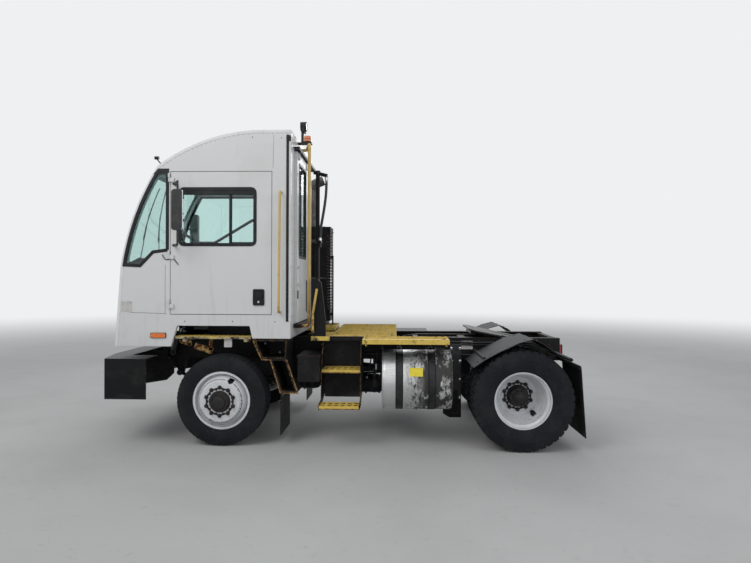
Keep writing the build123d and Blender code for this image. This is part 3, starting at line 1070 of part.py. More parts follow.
build_wheels()
build_front_axle()
build_front_springs()
build_rear_axle()
build_drivetrain()
build_frame()
build_bumper()
build_hood()
build_aftertreatment()
build_decks()
build_side_boxes()
build_fuel_tank()
build_fenders()
build_cab()
build_doors()
build_cab_fittings()
build_mast()
build_boom()
build_cylinders()

# Origin on the ground under the middle of the whole machine
corners = [shape.bounding_box() for shape in NODES.values()]
LOW = [min(getattr(box.min, axis) for box in corners) for axis in "XYZ"]
HIGH = [max(getattr(box.max, axis) for box in corners) for axis in "XYZ"]
SHIFT = (-(LOW[0] + HIGH[0]) / 2, -(LOW[1] + HIGH[1]) / 2, -LOW[2])
print("shift", SHIFT, "nodes", len(NODES))
for name, shape in NODES.items():
    export_step(Pos(*SHIFT) * shape, f"parts/{name}.step")
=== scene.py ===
# Terminal tractor: finishes, trim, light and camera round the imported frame.
# Metres. Pieces are drawn in the machine's own frame, X forward from the front axle, Y to the
# driver's side, Z up from the ground, and are then moved by AXLE to where the frame stands.
import math
from collections import namedtuple
from itertools import product

import bmesh
import bpy
from mathutils import Matrix, Vector


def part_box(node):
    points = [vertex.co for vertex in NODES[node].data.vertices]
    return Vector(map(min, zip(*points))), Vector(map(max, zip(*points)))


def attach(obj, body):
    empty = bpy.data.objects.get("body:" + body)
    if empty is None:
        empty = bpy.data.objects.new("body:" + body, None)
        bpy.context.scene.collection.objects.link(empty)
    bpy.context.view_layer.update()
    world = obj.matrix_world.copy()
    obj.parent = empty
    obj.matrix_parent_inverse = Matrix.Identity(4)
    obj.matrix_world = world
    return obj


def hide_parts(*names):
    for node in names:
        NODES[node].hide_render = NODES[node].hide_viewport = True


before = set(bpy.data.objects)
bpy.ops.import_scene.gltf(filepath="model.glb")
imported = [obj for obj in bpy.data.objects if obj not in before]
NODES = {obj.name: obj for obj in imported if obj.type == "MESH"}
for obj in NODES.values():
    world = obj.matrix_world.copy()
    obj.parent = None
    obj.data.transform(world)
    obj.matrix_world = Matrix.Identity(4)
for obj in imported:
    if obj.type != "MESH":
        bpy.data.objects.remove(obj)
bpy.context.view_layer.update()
SCENE = bpy.context.scene
LEFT = 1
RIGHT = -1
SIDES = (("left", LEFT), ("right", RIGHT))


def middle(node):
    low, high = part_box(node)
    return (low + high) / 2


WHEEL_L = middle("front_left_tyre")
WHEEL_R = middle("front_right_tyre")
AXLE = Vector((WHEEL_L.x, (WHEEL_L.y + WHEEL_R.y) / 2, 0))


# Camera
CAMERA_PLACE = Vector((-1.772, 6.777, 1.688))
CAMERA_YAW = math.radians(2.0)
CAMERA_ROLL = math.radians(0.2)
IMAGE_WIDTH = 751
FOCAL_PIXELS = 560
SENSOR = 36.0


data = bpy.data.cameras.new("camera")
data.sensor_width = SENSOR
data.lens = FOCAL_PIXELS / IMAGE_WIDTH * SENSOR
camera = bpy.data.objects.new("camera", data)
SCENE.collection.objects.link(camera)
camera.location = CAMERA_PLACE + AXLE
ahead = Vector((math.sin(CAMERA_YAW), -math.cos(CAMERA_YAW), 0))
facing = ahead.to_track_quat("-Z", "Y").to_matrix().to_4x4()
camera.rotation_euler = (facing @ Matrix.Rotation(CAMERA_ROLL, 4, "Z")).to_euler()
SCENE.camera = camera


# Finishes. A layer lies over the colour below it where its noise is high. Its fade is an axis, then
# the place where it begins to show and the place where it shows in full. Its edge keeps it to corners.
Layer = namedtuple("Layer", "colour rough scale low high stretch fade edge",
                   defaults=((1, 1, 1), None, 0.0))
RUNS = (6, 6, 0.7)
DUST = (0.16, 0.145, 0.125)
GRIME = (0.018, 0.017, 0.016)
RUST = (0.15, 0.05, 0.02)
STEEL = (0.36, 0.35, 0.34)
CORNER = 0.003


FINISHES = {}


def feed(tree, socket, value):
    """Link a node's output to the socket, or set the socket to a plain value."""
    if hasattr(value, "is_output"):
        tree.links.new(value, socket)
    else:
        socket.default_value = value


def node(tree, kind, **inputs):
    made = tree.nodes.new(kind)
    for name, value in inputs.items():
        feed(tree, made.inputs[name.replace("_", " ")], value)
    return made


def object_place(tree):
    return node(tree, "ShaderNodeTexCoord").outputs["Object"]


def ramp(tree, value, low, high):
    return node(tree, "ShaderNodeMapRange", Value=value, From_Min=low, From_Max=high)


def combine(tree, operation, one, other, kind="ShaderNodeMath"):
    made = tree.nodes.new(kind)
    made.operation = operation
    tree.links.new(one, made.inputs[0])
    tree.links.new(other, made.inputs[1])
    return made.outputs["Value"]


def blend(tree, kind, mask, below, above):
    made = tree.nodes.new("ShaderNodeMix")
    made.data_type = kind
    one, other, out = {"FLOAT": (2, 3, 0), "RGBA": (6, 7, 2)}[kind]
    for index, value in ((0, mask), (one, below), (other, above)):
        feed(tree, made.inputs[index], value)
    return made.outputs[out]


def mix_shaders(tree, share, one, other, output):
    mix = tree.nodes.new("ShaderNodeMixShader")
    for index, source in enumerate((share, one.outputs[0], other.outputs[0])):
        tree.links.new(source, mix.inputs[index])
    tree.links.new(mix.outputs[0], tree.nodes[output].inputs["Surface"])


def noise_mask(tree, layer, seed):
    place = node(tree, "ShaderNodeMapping", Vector=object_place(tree), Scale=layer.stretch,
                 Location=(seed, seed * 2, seed * 3))
    noise = node(tree, "ShaderNodeTexNoise", Vector=place.outputs["Vector"], Scale=layer.scale, Detail=7.0,
                 Roughness=0.62)
    return ramp(tree, noise.outputs["Fac"], layer.low, layer.high).outputs["Result"]


def fade_mask(tree, fade):
    axis, start, stop = fade
    shift = AXLE["XYZ".index(axis)]
    split = node(tree, "ShaderNodeSeparateXYZ", Vector=object_place(tree))
    return ramp(tree, split.outputs[axis], start + shift, stop + shift).outputs["Result"]


def corner_normal(tree, radius):
    bevel = node(tree, "ShaderNodeBevel", Radius=radius)
    bevel.samples = 4
    return bevel.outputs["Normal"]


def edge_mask(tree, radius):
    flat = node(tree, "ShaderNodeNewGeometry").outputs["Normal"]
    likeness = combine(tree, "DOT_PRODUCT", corner_normal(tree, radius), flat, "ShaderNodeVectorMath")
    return ramp(tree, likeness, 0.998, 0.9).outputs["Result"]


def add_bump(tree, shader, scale, depth, corner):
    relief = noise_mask(tree, Layer(None, 0, scale, 0.2, 0.8), 5.0)
    below = {"Normal": corner_normal(tree, corner)} if corner else {}
    bump = node(tree, "ShaderNodeBump", Strength=0.6, Distance=depth, Height=relief, **below)
    tree.links.new(bump.outputs["Normal"], shader.inputs["Normal"])


def finish(name, colour, rough, metal=0.0, layers=(), bump=(120, 0.0006), corner=CORNER, **sockets):
    made = bpy.data.materials.new(name)
    made.use_nodes = True
    tree = made.node_tree
    shader = tree.nodes["Principled BSDF"]
    tint = (*colour, 1)
    metallic = metal
    for index, layer in enumerate(layers):
        mask = noise_mask(tree, layer, index * 3.7 + len(name))
        if layer.fade:
            mask = combine(tree, "MULTIPLY", mask, fade_mask(tree, layer.fade))
        if layer.edge:
            mask = combine(tree, "MULTIPLY", mask, edge_mask(tree, layer.edge))
        tint = blend(tree, "RGBA", mask, tint, (*layer.colour, 1))
        rough = blend(tree, "FLOAT", mask, rough, layer.rough)
        if metal:
            metallic = blend(tree, "FLOAT", mask, metallic, 0.0)
    for socket, value in {"Base Color": tint, "Roughness": rough, "Metallic": metallic, **sockets}.items():
        feed(tree, shader.inputs[socket.replace("_", " ")], value)
    if bump:
        add_bump(tree, shader, *bump, corner)
    FINISHES[name] = made
    return made


def see_through(name, tint, rough):
    """Glass with a film of dust, which lets light through to what lies behind it."""
    tree = finish(name, tint, rough, Transmission_Weight=1.0, IOR=1.45, corner=0, bump=(3, 0.0003),
                  layers=(Layer((0.62, 0.66, 0.64), 0.3, 7, 0.62, 1.0),)).node_tree
    clear = node(tree, "ShaderNodeBsdfTransparent", Color=(*tint, 1))
    path = node(tree, "ShaderNodeLightPath")
    mix_shaders(tree, path.outputs["Is Shadow Ray"], tree.nodes["Principled BSDF"], clear, "Material Output")


LOW_DUST = Layer(DUST, 0.9, 5, 0.48, 0.85, fade=("Z", 0.9, -0.2))
DULL = Layer((0.022, 0.0225, 0.024), 0.65, 9, 0.5, 0.8)
SPECKS = Layer((0.09, 0.085, 0.08), 0.8, 55, 0.66, 0.73)
EDGE_RUST = Layer(RUST, 0.85, 30, 0.46, 0.58, edge=0.006)
EDGE_STEEL = Layer(STEEL, 0.5, 40, 0.52, 0.62, edge=0.004)
STREAKS = Layer((0.52, 0.51, 0.485), 0.5, 2.2, 0.6, 0.95, RUNS)
BLACK = (0.005, 0.0052, 0.006)

finish("cab_white", (0.66, 0.665, 0.67), 0.36, bump=(8, 0.001), Coat_Weight=0.2, layers=(
    STREAKS, Layer((0.58, 0.575, 0.56), 0.5, 1.3, 0.52, 0.85),
    Layer((0.42, 0.4, 0.36), 0.7, 3, 0.52, 0.9, RUNS, ("Z", 1.6, 0.9)),
    Layer((0.3, 0.28, 0.24), 0.8, 60, 0.7, 0.75)))
finish("trim_white", (0.74, 0.745, 0.75), 0.3, bump=(20, 0.0006), layers=(
    Layer((0.55, 0.55, 0.54), 0.5, 9, 0.5, 0.85),))
finish("hood_white", (0.66, 0.66, 0.65), 0.38, bump=(9, 0.0012), Coat_Weight=0.2, layers=(
    STREAKS, Layer((0.42, 0.4, 0.36), 0.7, 4, 0.5, 0.85), EDGE_RUST))
finish("frame_black", BLACK, 0.5, Specular_IOR_Level=0.2, layers=(
    DULL, SPECKS, LOW_DUST, EDGE_RUST))
finish("bumper_black", (0.003, 0.0036, 0.0046), 0.38, Specular_IOR_Level=0.22, layers=(
    Layer((0.012, 0.013, 0.015), 0.5, 5, 0.56, 0.85), LOW_DUST, EDGE_STEEL))
finish("step_black", BLACK, 0.5, Specular_IOR_Level=0.2, layers=(
    DULL, SPECKS, LOW_DUST, Layer((0.42, 0.24, 0.07), 0.7, 26, 0.46, 0.58, edge=0.007)))
finish("edge_orange", (0.42, 0.235, 0.07), 0.7, layers=(
    Layer((0.1, 0.045, 0.02), 0.85, 38, 0.44, 0.56), Layer(GRIME, 0.8, 60, 0.52, 0.62)))
finish("deck_yellow", (0.7, 0.5, 0.1), 0.5, layers=(
    Layer((0.52, 0.36, 0.06), 0.6, 12, 0.5, 0.75), Layer(GRIME, 0.8, 9, 0.56, 0.7),
    Layer(RUST, 0.9, 45, 0.62, 0.7)))
finish("deck_worn", (0.4, 0.34, 0.2), 0.6, layers=(
    Layer((0.62, 0.47, 0.15), 0.6, 7, 0.46, 0.6), Layer(GRIME, 0.8, 10, 0.48, 0.6),
    Layer(STEEL, 0.5, 30, 0.6, 0.7)))
finish("rail_yellow", (0.62, 0.43, 0.12), 0.42, layers=(
    Layer((0.46, 0.31, 0.09), 0.6, 10, 0.5, 0.8), Layer(RUST, 0.9, 26, 0.42, 0.52, fade=("Z", 1.5, 1.22)),
    Layer((0.1, 0.07, 0.04), 0.8, 60, 0.64, 0.72)))
finish("tank_metal", (0.7, 0.7, 0.7), 0.3, 1.0, bump=(40, 0.0005), layers=(
    Layer((0.5, 0.5, 0.49), 0.5, 30, 0.4, 0.85, (0.4, 3, 3)),
    Layer((0.2, 0.195, 0.18), 0.6, 5, 0.5, 0.6, (1, 1, 0.7), ("X", -1.84, -2.02)),
    Layer((0.03, 0.029, 0.027), 0.7, 7, 0.46, 0.52, (1.2, 1, 0.6), ("X", -1.9, -2.08)),
    Layer((0.028, 0.027, 0.025), 0.7, 26, 0.52, 0.58, (1.3, 1, 0.5), ("X", -1.86, -1.98)),
    Layer((0.1, 0.095, 0.085), 0.8, 4, 0.5, 0.64, (1.5, 1, 0.8), ("Z", 0.48, 0.36))))
finish("strap_steel", (0.012, 0.013, 0.016), 0.42, Specular_IOR_Level=0.35, layers=(
    Layer((0.05, 0.052, 0.056), 0.55, 10, 0.5, 0.8), LOW_DUST))
finish("tyre_rubber", (0.0095, 0.0108, 0.0135), 0.75, Specular_IOR_Level=0.18, layers=(
    Layer((0.026, 0.027, 0.029), 0.85, 6, 0.42, 0.8), Layer((0.05, 0.048, 0.046), 0.95, 40, 0.58, 0.85)),
    bump=(90, 0.0008), corner=0)
finish("wheel_grey", (0.7, 0.71, 0.73), 0.4, 0.06, layers=(
    Layer((0.54, 0.54, 0.54), 0.6, 9, 0.48, 0.78), Layer((0.16, 0.1, 0.06), 0.9, 80, 0.66, 0.7),
    Layer((0.22, 0.2, 0.17), 0.9, 24, 0.62, 0.74)))
finish("axle_iron", (0.012, 0.0115, 0.012), 0.5, bump=(60, 0.0012), Specular_IOR_Level=0.35, layers=(
    Layer((0.035, 0.03, 0.028), 0.8, 7, 0.46, 0.7), Layer((0.06, 0.028, 0.016), 0.9, 25, 0.6, 0.72)))
finish("engine_iron", (0.035, 0.036, 0.04), 0.6, bump=(40, 0.002), layers=(
    Layer(GRIME, 0.6, 5, 0.42, 0.62), Layer(DUST, 0.9, 15, 0.6, 0.85)))
finish("plastic_black", (0.0065, 0.007, 0.008), 0.42, Specular_IOR_Level=0.3, layers=(
    Layer((0.028, 0.029, 0.031), 0.6, 8, 0.5, 0.8),))
finish("lamp_lens", (0.8, 0.82, 0.84), 0.12, Coat_Weight=1.0, layers=(
    Layer((0.4, 0.4, 0.38), 0.4, 20, 0.5, 0.9),))
finish("fender_grey", (0.011, 0.0125, 0.015), 0.62, Specular_IOR_Level=0.2, layers=(
    Layer((0.024, 0.027, 0.031), 0.65, 5, 0.42, 0.66), SPECKS))
# Black rubber for flaps, shields and liners; the same finish is also the painted shade in the deck's grip openings.
finish("flap_rubber", (0.006, 0.0062, 0.0068), 0.65, Specular_IOR_Level=0.2, layers=(
    Layer((0.03, 0.029, 0.028), 0.9, 5, 0.48, 0.8), LOW_DUST))
finish("seat_fabric", (0.03, 0.031, 0.036), 0.9, bump=(700, 0.001), corner=0, Sheen_Weight=0.4, layers=(
    Layer((0.06, 0.06, 0.066), 0.95, 260, 0.45, 0.6), Layer((0.09, 0.085, 0.08), 0.95, 8, 0.5, 0.85)))
see_through("window_glass", (0.73, 0.88, 0.855), 0.02)
finish("mirror_shell", (0.012, 0.0125, 0.014), 0.35, layers=(
    Layer((0.06, 0.058, 0.055), 0.7, 12, 0.5, 0.75),))
finish("exhaust_steel", (0.13, 0.12, 0.115), 0.45, 1.0, layers=(
    Layer((0.06, 0.045, 0.035), 0.8, 8, 0.42, 0.7), Layer((0.022, 0.021, 0.02), 0.8, 20, 0.5, 0.75)))
finish("hose_rubber", (0.009, 0.0095, 0.0105), 0.45, corner=0, layers=(
    Layer((0.03, 0.028, 0.026), 0.8, 30, 0.5, 0.8),))
finish("plate_steel", (0.03, 0.029, 0.028), 0.5, 0.5, layers=(
    Layer((0.01, 0.0095, 0.009), 0.45, 4, 0.38, 0.58), Layer((0.07, 0.035, 0.02), 0.85, 18, 0.6, 0.72)))
finish("cylinder_steel", (0.01, 0.0105, 0.012), 0.42, layers=(DULL, LOW_DUST))
finish("rod_chrome", (0.62, 0.62, 0.63), 0.14, 1.0, layers=(
    Layer((0.2, 0.18, 0.15), 0.5, 20, 0.56, 0.8),))
finish("lens_amber", (0.85, 0.2, 0.02), 0.16, Coat_Weight=1.0, layers=(
    Layer((0.55, 0.09, 0.01), 0.3, 60, 0.45, 0.7),))
finish("lens_red", (0.45, 0.012, 0.012), 0.18, Coat_Weight=1.0, layers=(
    Layer((0.25, 0.01, 0.01), 0.3, 60, 0.45, 0.7),))
finish("mirror_glass", (0.8, 0.82, 0.83), 0.03, 1.0, bump=None, corner=0, layers=(
    Layer((0.5, 0.5, 0.5), 0.3, 15, 0.6, 0.9),))
finish("label_white", (0.56, 0.55, 0.53), 0.6, layers=(
    Layer((0.36, 0.32, 0.3), 0.8, 25, 0.48, 0.75),))
finish("label_yellow", (0.8, 0.66, 0.04), 0.5, layers=(
    Layer((0.5, 0.38, 0.05), 0.7, 25, 0.55, 0.8),))
finish("pipe_blue", (0.012, 0.03, 0.06), 0.45, corner=0, layers=(
    Layer((0.03, 0.03, 0.03), 0.7, 14, 0.5, 0.75),))

NODE_FINISH = {
    "frame_black": "frame cab_mounts hose_mast aftertreatment_box front_springs lift_boom battery_box side_tank",
    "bumper_black": "front_bumper",
    "cab_white": "cab_left_wall cab_right_wall cab_rear_wall cab_front_wall cab_roof cab_door rear_door",
    "hood_white": "engine_hood hood_lid",
    "step_black": "access_steps",
    "deck_yellow": "deck_plates",
    "rail_yellow": "grab_rails",
    "tank_metal": "fuel_tank",
    "strap_steel": "tank_straps",
    "wheel_grey": "front_left_wheel front_right_wheel rear_left_wheels rear_right_wheels",
    "tyre_rubber": "front_left_tyre front_right_tyre rear_left_tyres rear_right_tyres",
    "axle_iron": "front_axle rear_axle knuckle_left knuckle_right tie_rod",
    "engine_iron": "drivetrain",
    "plastic_black": "cab_floor dashboard steering_wheel grille",
    "lamp_lens": "chassis_lamps cab_lamps",
    "fender_grey": "rear_fenders",
    "flap_rubber": "mudflaps",
    "seat_fabric": "driver_seat",
    "window_glass": "cab_windows cab_door_glass rear_door_glass",
    "mirror_shell": "door_mirror right_mirror",
    "exhaust_steel": "exhaust_pipe",
    "hose_rubber": "air_hose_left air_hose_right",
    "plate_steel": "fifth_wheel",
    "cylinder_steel": "lift_barrels tilt_barrel",
    "rod_chrome": "lift_rods tilt_rod",
}
for slot, names in NODE_FINISH.items():
    for name in names.split():
        mesh = NODES[name].data
        mesh.materials.clear()
        mesh.materials.append(FINISHES[slot])

# Places that several parts share
LEFT_FACE = 1.06
RIGHT_FACE = -0.34
REAR_WALL_FACE = -0.7005
REAR_DOOR_FACE = -0.7305
BEACON = (-0.802, 0.625)
RAIL_FACE = 0.432
DECK_TOP = 1.105
WHEELBASE = 3.048
FRONT_R = 0.465
REAR_R = 0.507
HUB_R = 0.1115
STUD_CIRCLE = 0.1429
NUTS_FROM = 0.1269
NUTS_TO = 0.158


def on_hub(x, z, face_y):
    def test(place, way):
        radius = math.hypot(place.x - x, place.z - z)
        if radius < HUB_R or abs(place.y) < face_y - 0.012:
            return radius < 0.225
        return NUTS_FROM < radius < NUTS_TO and abs(place.y) > face_y + 0.002
    return test


# A second finish on some faces of a node: node, finish, and a test of the face's middle and normal.
FACE_FINISHES = [
    ("cab_lamps", "plastic_black", lambda place, way: True),
    ("cab_lamps", "lens_amber", lambda place, way: place.z < 1.3),
    ("cab_lamps", "lens_amber", lambda place, way: 3.2265 < place.z < 3.3
     and math.dist((place.x, place.y), BEACON) < 0.046),
    ("cab_lamps", "lamp_lens", lambda place, way: place.z > 3.33 and place.x < -0.785 and way.x < -0.9),
    ("chassis_lamps", "lens_red", lambda place, way: place.x < 0),
    ("access_steps", "rail_yellow", lambda place, way: -0.97 < place.x < -0.885 and place.y > 0.86),
    ("deck_plates", "frame_black", lambda place, way: place.z < 1.0595 and abs(place.y) < 0.99 and abs(way.z) < 0.9
     and not (-1.42 < place.x < -1.0 and place.z < 0.8)),
    ("deck_plates", "frame_black", lambda place, way: way.z < -0.5),
    ("deck_plates", "frame_black", lambda place, way: -1.405 < place.x < -1.025 and place.z < 0.775
     and abs(way.z) < 0.5 and min(abs(place.y - face) for face in (1.219, 1.008, 1.0, 0.73)) > 0.002),
    ("deck_plates", "deck_worn", lambda place, way: place.x > -0.3),
    ("deck_plates", "frame_black", lambda place, way: abs(abs(place.y) - 0.84) < 0.001 and abs(way.y) > 0.9),
    ("deck_plates", "deck_worn", lambda place, way: way.z > 0.9 and abs(place.y) < 0.84 and place.z > 1.1),
    ("cab_rear_wall", "frame_black", lambda place, way: place.x < REAR_WALL_FACE - 0.0005 and place.z < 1.3),
    ("cab_rear_wall", "strap_steel", lambda place, way: place.x < REAR_WALL_FACE - 0.0005 and place.z > 3.0
     and way.z < 0.5),
    ("rear_door", "plastic_black", lambda place, way: place.x < REAR_DOOR_FACE and abs(place.y - 0.75) < 0.03),
    ("door_mirror", "trim_white", lambda place, way: abs(way.x) > 0.6 and 2.2 < place.z < 2.6 and place.y > 1.22),
]
for side, sign in SIDES:
    FACE_FINISHES.append((f"front_{side}_wheel", "axle_iron", on_hub(0, FRONT_R, 1.15)))
    FACE_FINISHES.append((f"rear_{side}_wheels", "axle_iron", on_hub(-WHEELBASE, REAR_R, 0.8845)))

for name, slot, test in FACE_FINISHES:
    item = NODES[name]
    item.data.materials.append(FINISHES[slot])
    index = len(item.data.materials) - 1
    place_in = item.matrix_world
    turn_in = place_in.to_3x3()
    for face in item.data.polygons:
        if test(place_in @ face.center - AXLE, turn_in @ face.normal):
            face.material_index = index


# Mesh helpers, each adding to a bmesh.
AHEAD = (1, 0, 0)
BACK = (-1, 0, 0)
OUTWARD = (0, 1, 0)
UP = (0, 0, 1)
DOWN = (0, 0, -1)


def add_box(bm, x0, x1, y0, y1, z0, z1):
    size = Matrix.Diagonal((abs(x1 - x0), abs(y1 - y0), abs(z1 - z0), 1))
    place = Matrix.Translation(((x0 + x1) / 2, (y0 + y1) / 2, (z0 + z1) / 2))
    bmesh.ops.create_cube(bm, size=1.0, matrix=place @ size)


def add_tube(bm, start, end, radius, end_radius=None, sides=20):
    start, end = Vector(start), Vector(end)
    axis = end - start
    turn = axis.to_track_quat("Z", "Y").to_matrix().to_4x4()
    far = radius if end_radius is None else end_radius
    bmesh.ops.create_cone(bm, cap_ends=True, segments=sides, radius1=radius, radius2=far,
                          depth=axis.length, matrix=Matrix.Translation((start + end) / 2) @ turn)


def add_peg(bm, start, way, radius, end_radius=None, sides=20):
    """A tube given by its start and the way from there to its end."""
    add_tube(bm, start, Vector(start) + Vector(way), radius, end_radius, sides)


def add_run(bm, route, radius, sides=10, beads=False):
    """A pipe through the points of a route, with a bead at each turn where asked."""
    for start, stop in zip(route, route[1:]):
        add_tube(bm, start, stop, radius, sides=sides)
    for place in route[1:-1] if beads else ():
        bmesh.ops.create_icosphere(bm, subdivisions=1, radius=radius * 1.02, matrix=Matrix.Translation(place))


def add_bolts(bm, places, way, radius, height):
    way = Vector(way).normalized()
    for place in places:
        place = Vector(place)
        add_tube(bm, place, place + way * height * 0.18, radius * 1.35, sides=16)
        add_tube(bm, place, place + way * height * 0.8, radius, sides=6)
        add_tube(bm, place + way * height * 0.8, place + way * height, radius * 0.9, radius * 0.6, sides=6)


def add_domes(bm, places, way, radius, height, sides=12):
    way = Vector(way).normalized()
    for place in places:
        place = Vector(place)
        add_tube(bm, place, place + way * height * 0.5, radius, radius * 0.85, sides)
        add_tube(bm, place + way * height * 0.5, place + way * height, radius * 0.85, radius * 0.35, sides)


def loft(bm, rings, closed=False):
    """Faces from each ring of places to the next. The last ring meets the first, or both ends are capped."""
    rings = [[bm.verts.new(place) for place in ring] for ring in rings]
    if closed:
        rings.append(rings[0])
    else:
        bm.faces.new(rings[0])
        bm.faces.new(rings[-1])
    for one, other in zip(rings, rings[1:]):
        for index in range(len(one)):
            after = (index + 1) % len(one)
            bm.faces.new((one[index], one[after], other[after], other[index]))


def put(line, plane, depth):
    return [{"xz": (u, depth, v), "yz": (depth, u, v), "xy": (u, v, depth)}[plane] for u, v in line]


def add_prism(bm, outline, plane, low, high):
    loft(bm, [put(outline, plane, low), put(outline, plane, high)])


def add_band(bm, outline, plane, out, into, low, high):
    """A band along an outline, from so far outside it to so far inside."""
    outer, inner = grown(outline, out), grown(outline, -into)
    rings = ((outer, low), (outer, high), (inner, high), (inner, low))
    loft(bm, [put(line, plane, depth) for line, depth in rings], True)


def add_lathe(bm, profile, centre, sides, facing):
    x, y, z = centre
    loft(bm, [put(circle(x, z, radius, sides), "xz", y + facing * across) for across, radius in profile])


# Outlines are lists of places in a plane.
def grown(outline, amount):
    moved = []
    for index, here in enumerate(outline):
        here = Vector(here)
        before = (here - Vector(outline[index - 1])).normalized()
        after = (Vector(outline[(index + 1) % len(outline)]) - here).normalized()
        side = Vector((before.y, -before.x))
        out = Vector((before.y + after.y, -before.x - after.x))
        if out.length < 1e-6:
            out = side.copy()
        out.normalize()
        moved.append(tuple(here + out * amount / max(0.4, out.dot(side))))
    return moved


def rounded(corners, radius, steps=6):
    points = []
    for index, corner in enumerate(corners):
        corner = Vector(corner)
        last = Vector(corners[index - 1]) - corner
        following = Vector(corners[(index + 1) % len(corners)]) - corner
        half = last.angle(following) / 2
        back = min(radius / math.tan(half), last.length * 0.45, following.length * 0.45)
        first, stop = corner + last.normalized() * back, corner + following.normalized() * back
        for step in range(steps + 1):
            t = step / steps
            points.append(tuple(first * (1 - t) ** 2 + corner * 2 * t * (1 - t) + stop * t ** 2))
    return points


def rectangle(u0, u1, v0, v1):
    return [(u0, v0), (u1, v0), (u1, v1), (u0, v1)]


def panel(u0, u1, v0, v1, radius, steps=6):
    return rounded(rectangle(u0, u1, v0, v1), radius, steps)


def circle(u, v, radius, count, shift=0.0):
    angles = [2 * math.pi * (index + shift) / count for index in range(count)]
    return [(u + radius * math.cos(angle), v + radius * math.sin(angle)) for angle in angles]


def part_way(start, stop, share):
    return tuple(a + (b - a) * share for a, b in zip(start, stop))


def spread(start, stop, count):
    """The middles of the equal parts of a length."""
    return [start + (stop - start) * (step + 0.5) / count for step in range(count)]


# Making objects
def link(name, data):
    item = bpy.data.objects.new(name, data)
    SCENE.collection.objects.link(item)
    return item


def drawn(name, draw):
    """The mesh that a function draws in the machine's own frame, moved to where the frame stands."""
    mesh = bpy.data.meshes.new(name)
    bm = bmesh.new()
    draw(bm)
    bmesh.ops.recalc_face_normals(bm, faces=bm.faces)
    bm.to_mesh(mesh)
    bm.free()
    mesh.transform(Matrix.Translation(AXLE))
    return mesh


def cover(mesh, slot, angle=None):
    """Give a mesh its finish and smooth shading, with sharp edges from an angle on."""
    mesh.materials.clear()
    mesh.materials.append(FINISHES[slot])
    for face in mesh.polygons:
        face.use_smooth = True
    if angle:
        mesh.set_sharp_from_angle(angle=math.radians(angle))


def enter(item, body, stands_for=None):
    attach(item, body)
    if stands_for:
        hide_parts(stands_for)


def piece(body, slot, bevel=0.0012, name=None):
    """Put over a function that draws a piece. The piece has the function's name, or the one given."""
    def make(draw):
        item = link(name or draw.__name__, drawn(name or draw.__name__, draw))
        cover(item.data, slot, 32)
        if bevel:
            rounding = item.modifiers.new("rounding", "BEVEL")
            rounding.width = bevel
            rounding.segments = 2
            rounding.limit_method = "ANGLE"
            rounding.angle_limit = math.radians(35)
        enter(item, body)
        return item
    return make


def evaluated(item):
    graph = bpy.context.evaluated_depsgraph_get()
    graph.update()
    return bpy.data.meshes.new_from_object(item.evaluated_get(graph))


# Air hoses: the rubber lines that hang from the mast to the rail behind the cab.
HOSE_ROUTE = ((-0.936, 2.9497), (-0.936, 2.79), (-0.914, 2.6), (-0.885, 2.43), (-0.862, 2.3), (-0.862, 2.175))
HOSE_DIAMETER = 0.024
HOSE_Y = 0.03
TOP_X, TOP_Z = HOSE_ROUTE[0]
RAIL_X = HOSE_ROUTE[-1][0]

for side, sign in SIDES:
    y = sign * HOSE_Y
    hose_node = f"air_hose_{side}"
    data = bpy.data.curves.new(f"{hose_node}_line", "CURVE")
    data.dimensions = "3D"
    data.bevel_depth = HOSE_DIAMETER / 2
    data.bevel_resolution = 5
    data.use_fill_caps = True
    line = data.splines.new("NURBS")
    line.points.add(len(HOSE_ROUTE) - 1)
    for point, (x, z) in zip(line.points, HOSE_ROUTE):
        point.co = (*(Vector((x, y, z)) + AXLE), 1)
    line.order_u = 3
    line.use_endpoint_u = True
    line.resolution_u = 12
    data.materials.append(FINISHES["hose_rubber"])
    hose = link(f"{hose_node}_line", data)
    enter(hose, "chassis", hose_node)

    @piece("chassis", "rod_chrome", 0.0006, f"{hose_node}_ends")
    def ends(bm):
        for x, top, low in ((TOP_X, 2.95, 2.905), (RAIL_X, 2.215, 2.175)):
            add_tube(bm, (x, y, top), (x, y, low), 0.0145, sides=24)
            add_peg(bm, (x, y, (top + low) / 2 - 0.006), (0, 0, 0.012), 0.017, sides=6)


# Tyres. The sidewall rows are (share of the height from bead to shoulder, share of the half width).
SIDEWALL = ((0.0, 0.725), (0.03, 0.74), (0.07, 0.84), (0.12, 0.885), (0.14, 0.9), (0.17, 0.9), (0.19, 0.915),
            (0.33, 0.975), (0.48, 0.995), (0.55, 0.992), (0.56, 1.0), (0.62, 1.0), (0.63, 0.985), (0.76, 0.965),
            (0.88, 0.935), (0.95, 0.915))
RIM_SEAT = 0.2862
TREAD_STEPS = 240
TREAD_RIBS = {
    "rib": ((-0.89, -0.64), (-0.56, -0.22), (-0.15, 0.15), (0.22, 0.56), (0.64, 0.89)),
    "lug": ((-0.89, -0.5), (-0.42, -0.05), (0.05, 0.42), (0.5, 0.89)),
}
GROOVE = {"rib": 0.012, "lug": 0.017}
NOTCH_EVERY = {"rib": 4, "lug": 6}
NOTCH = {"rib": 0.005, "lug": 0.017}
REAR_TYRE_WIDTH = 0.286


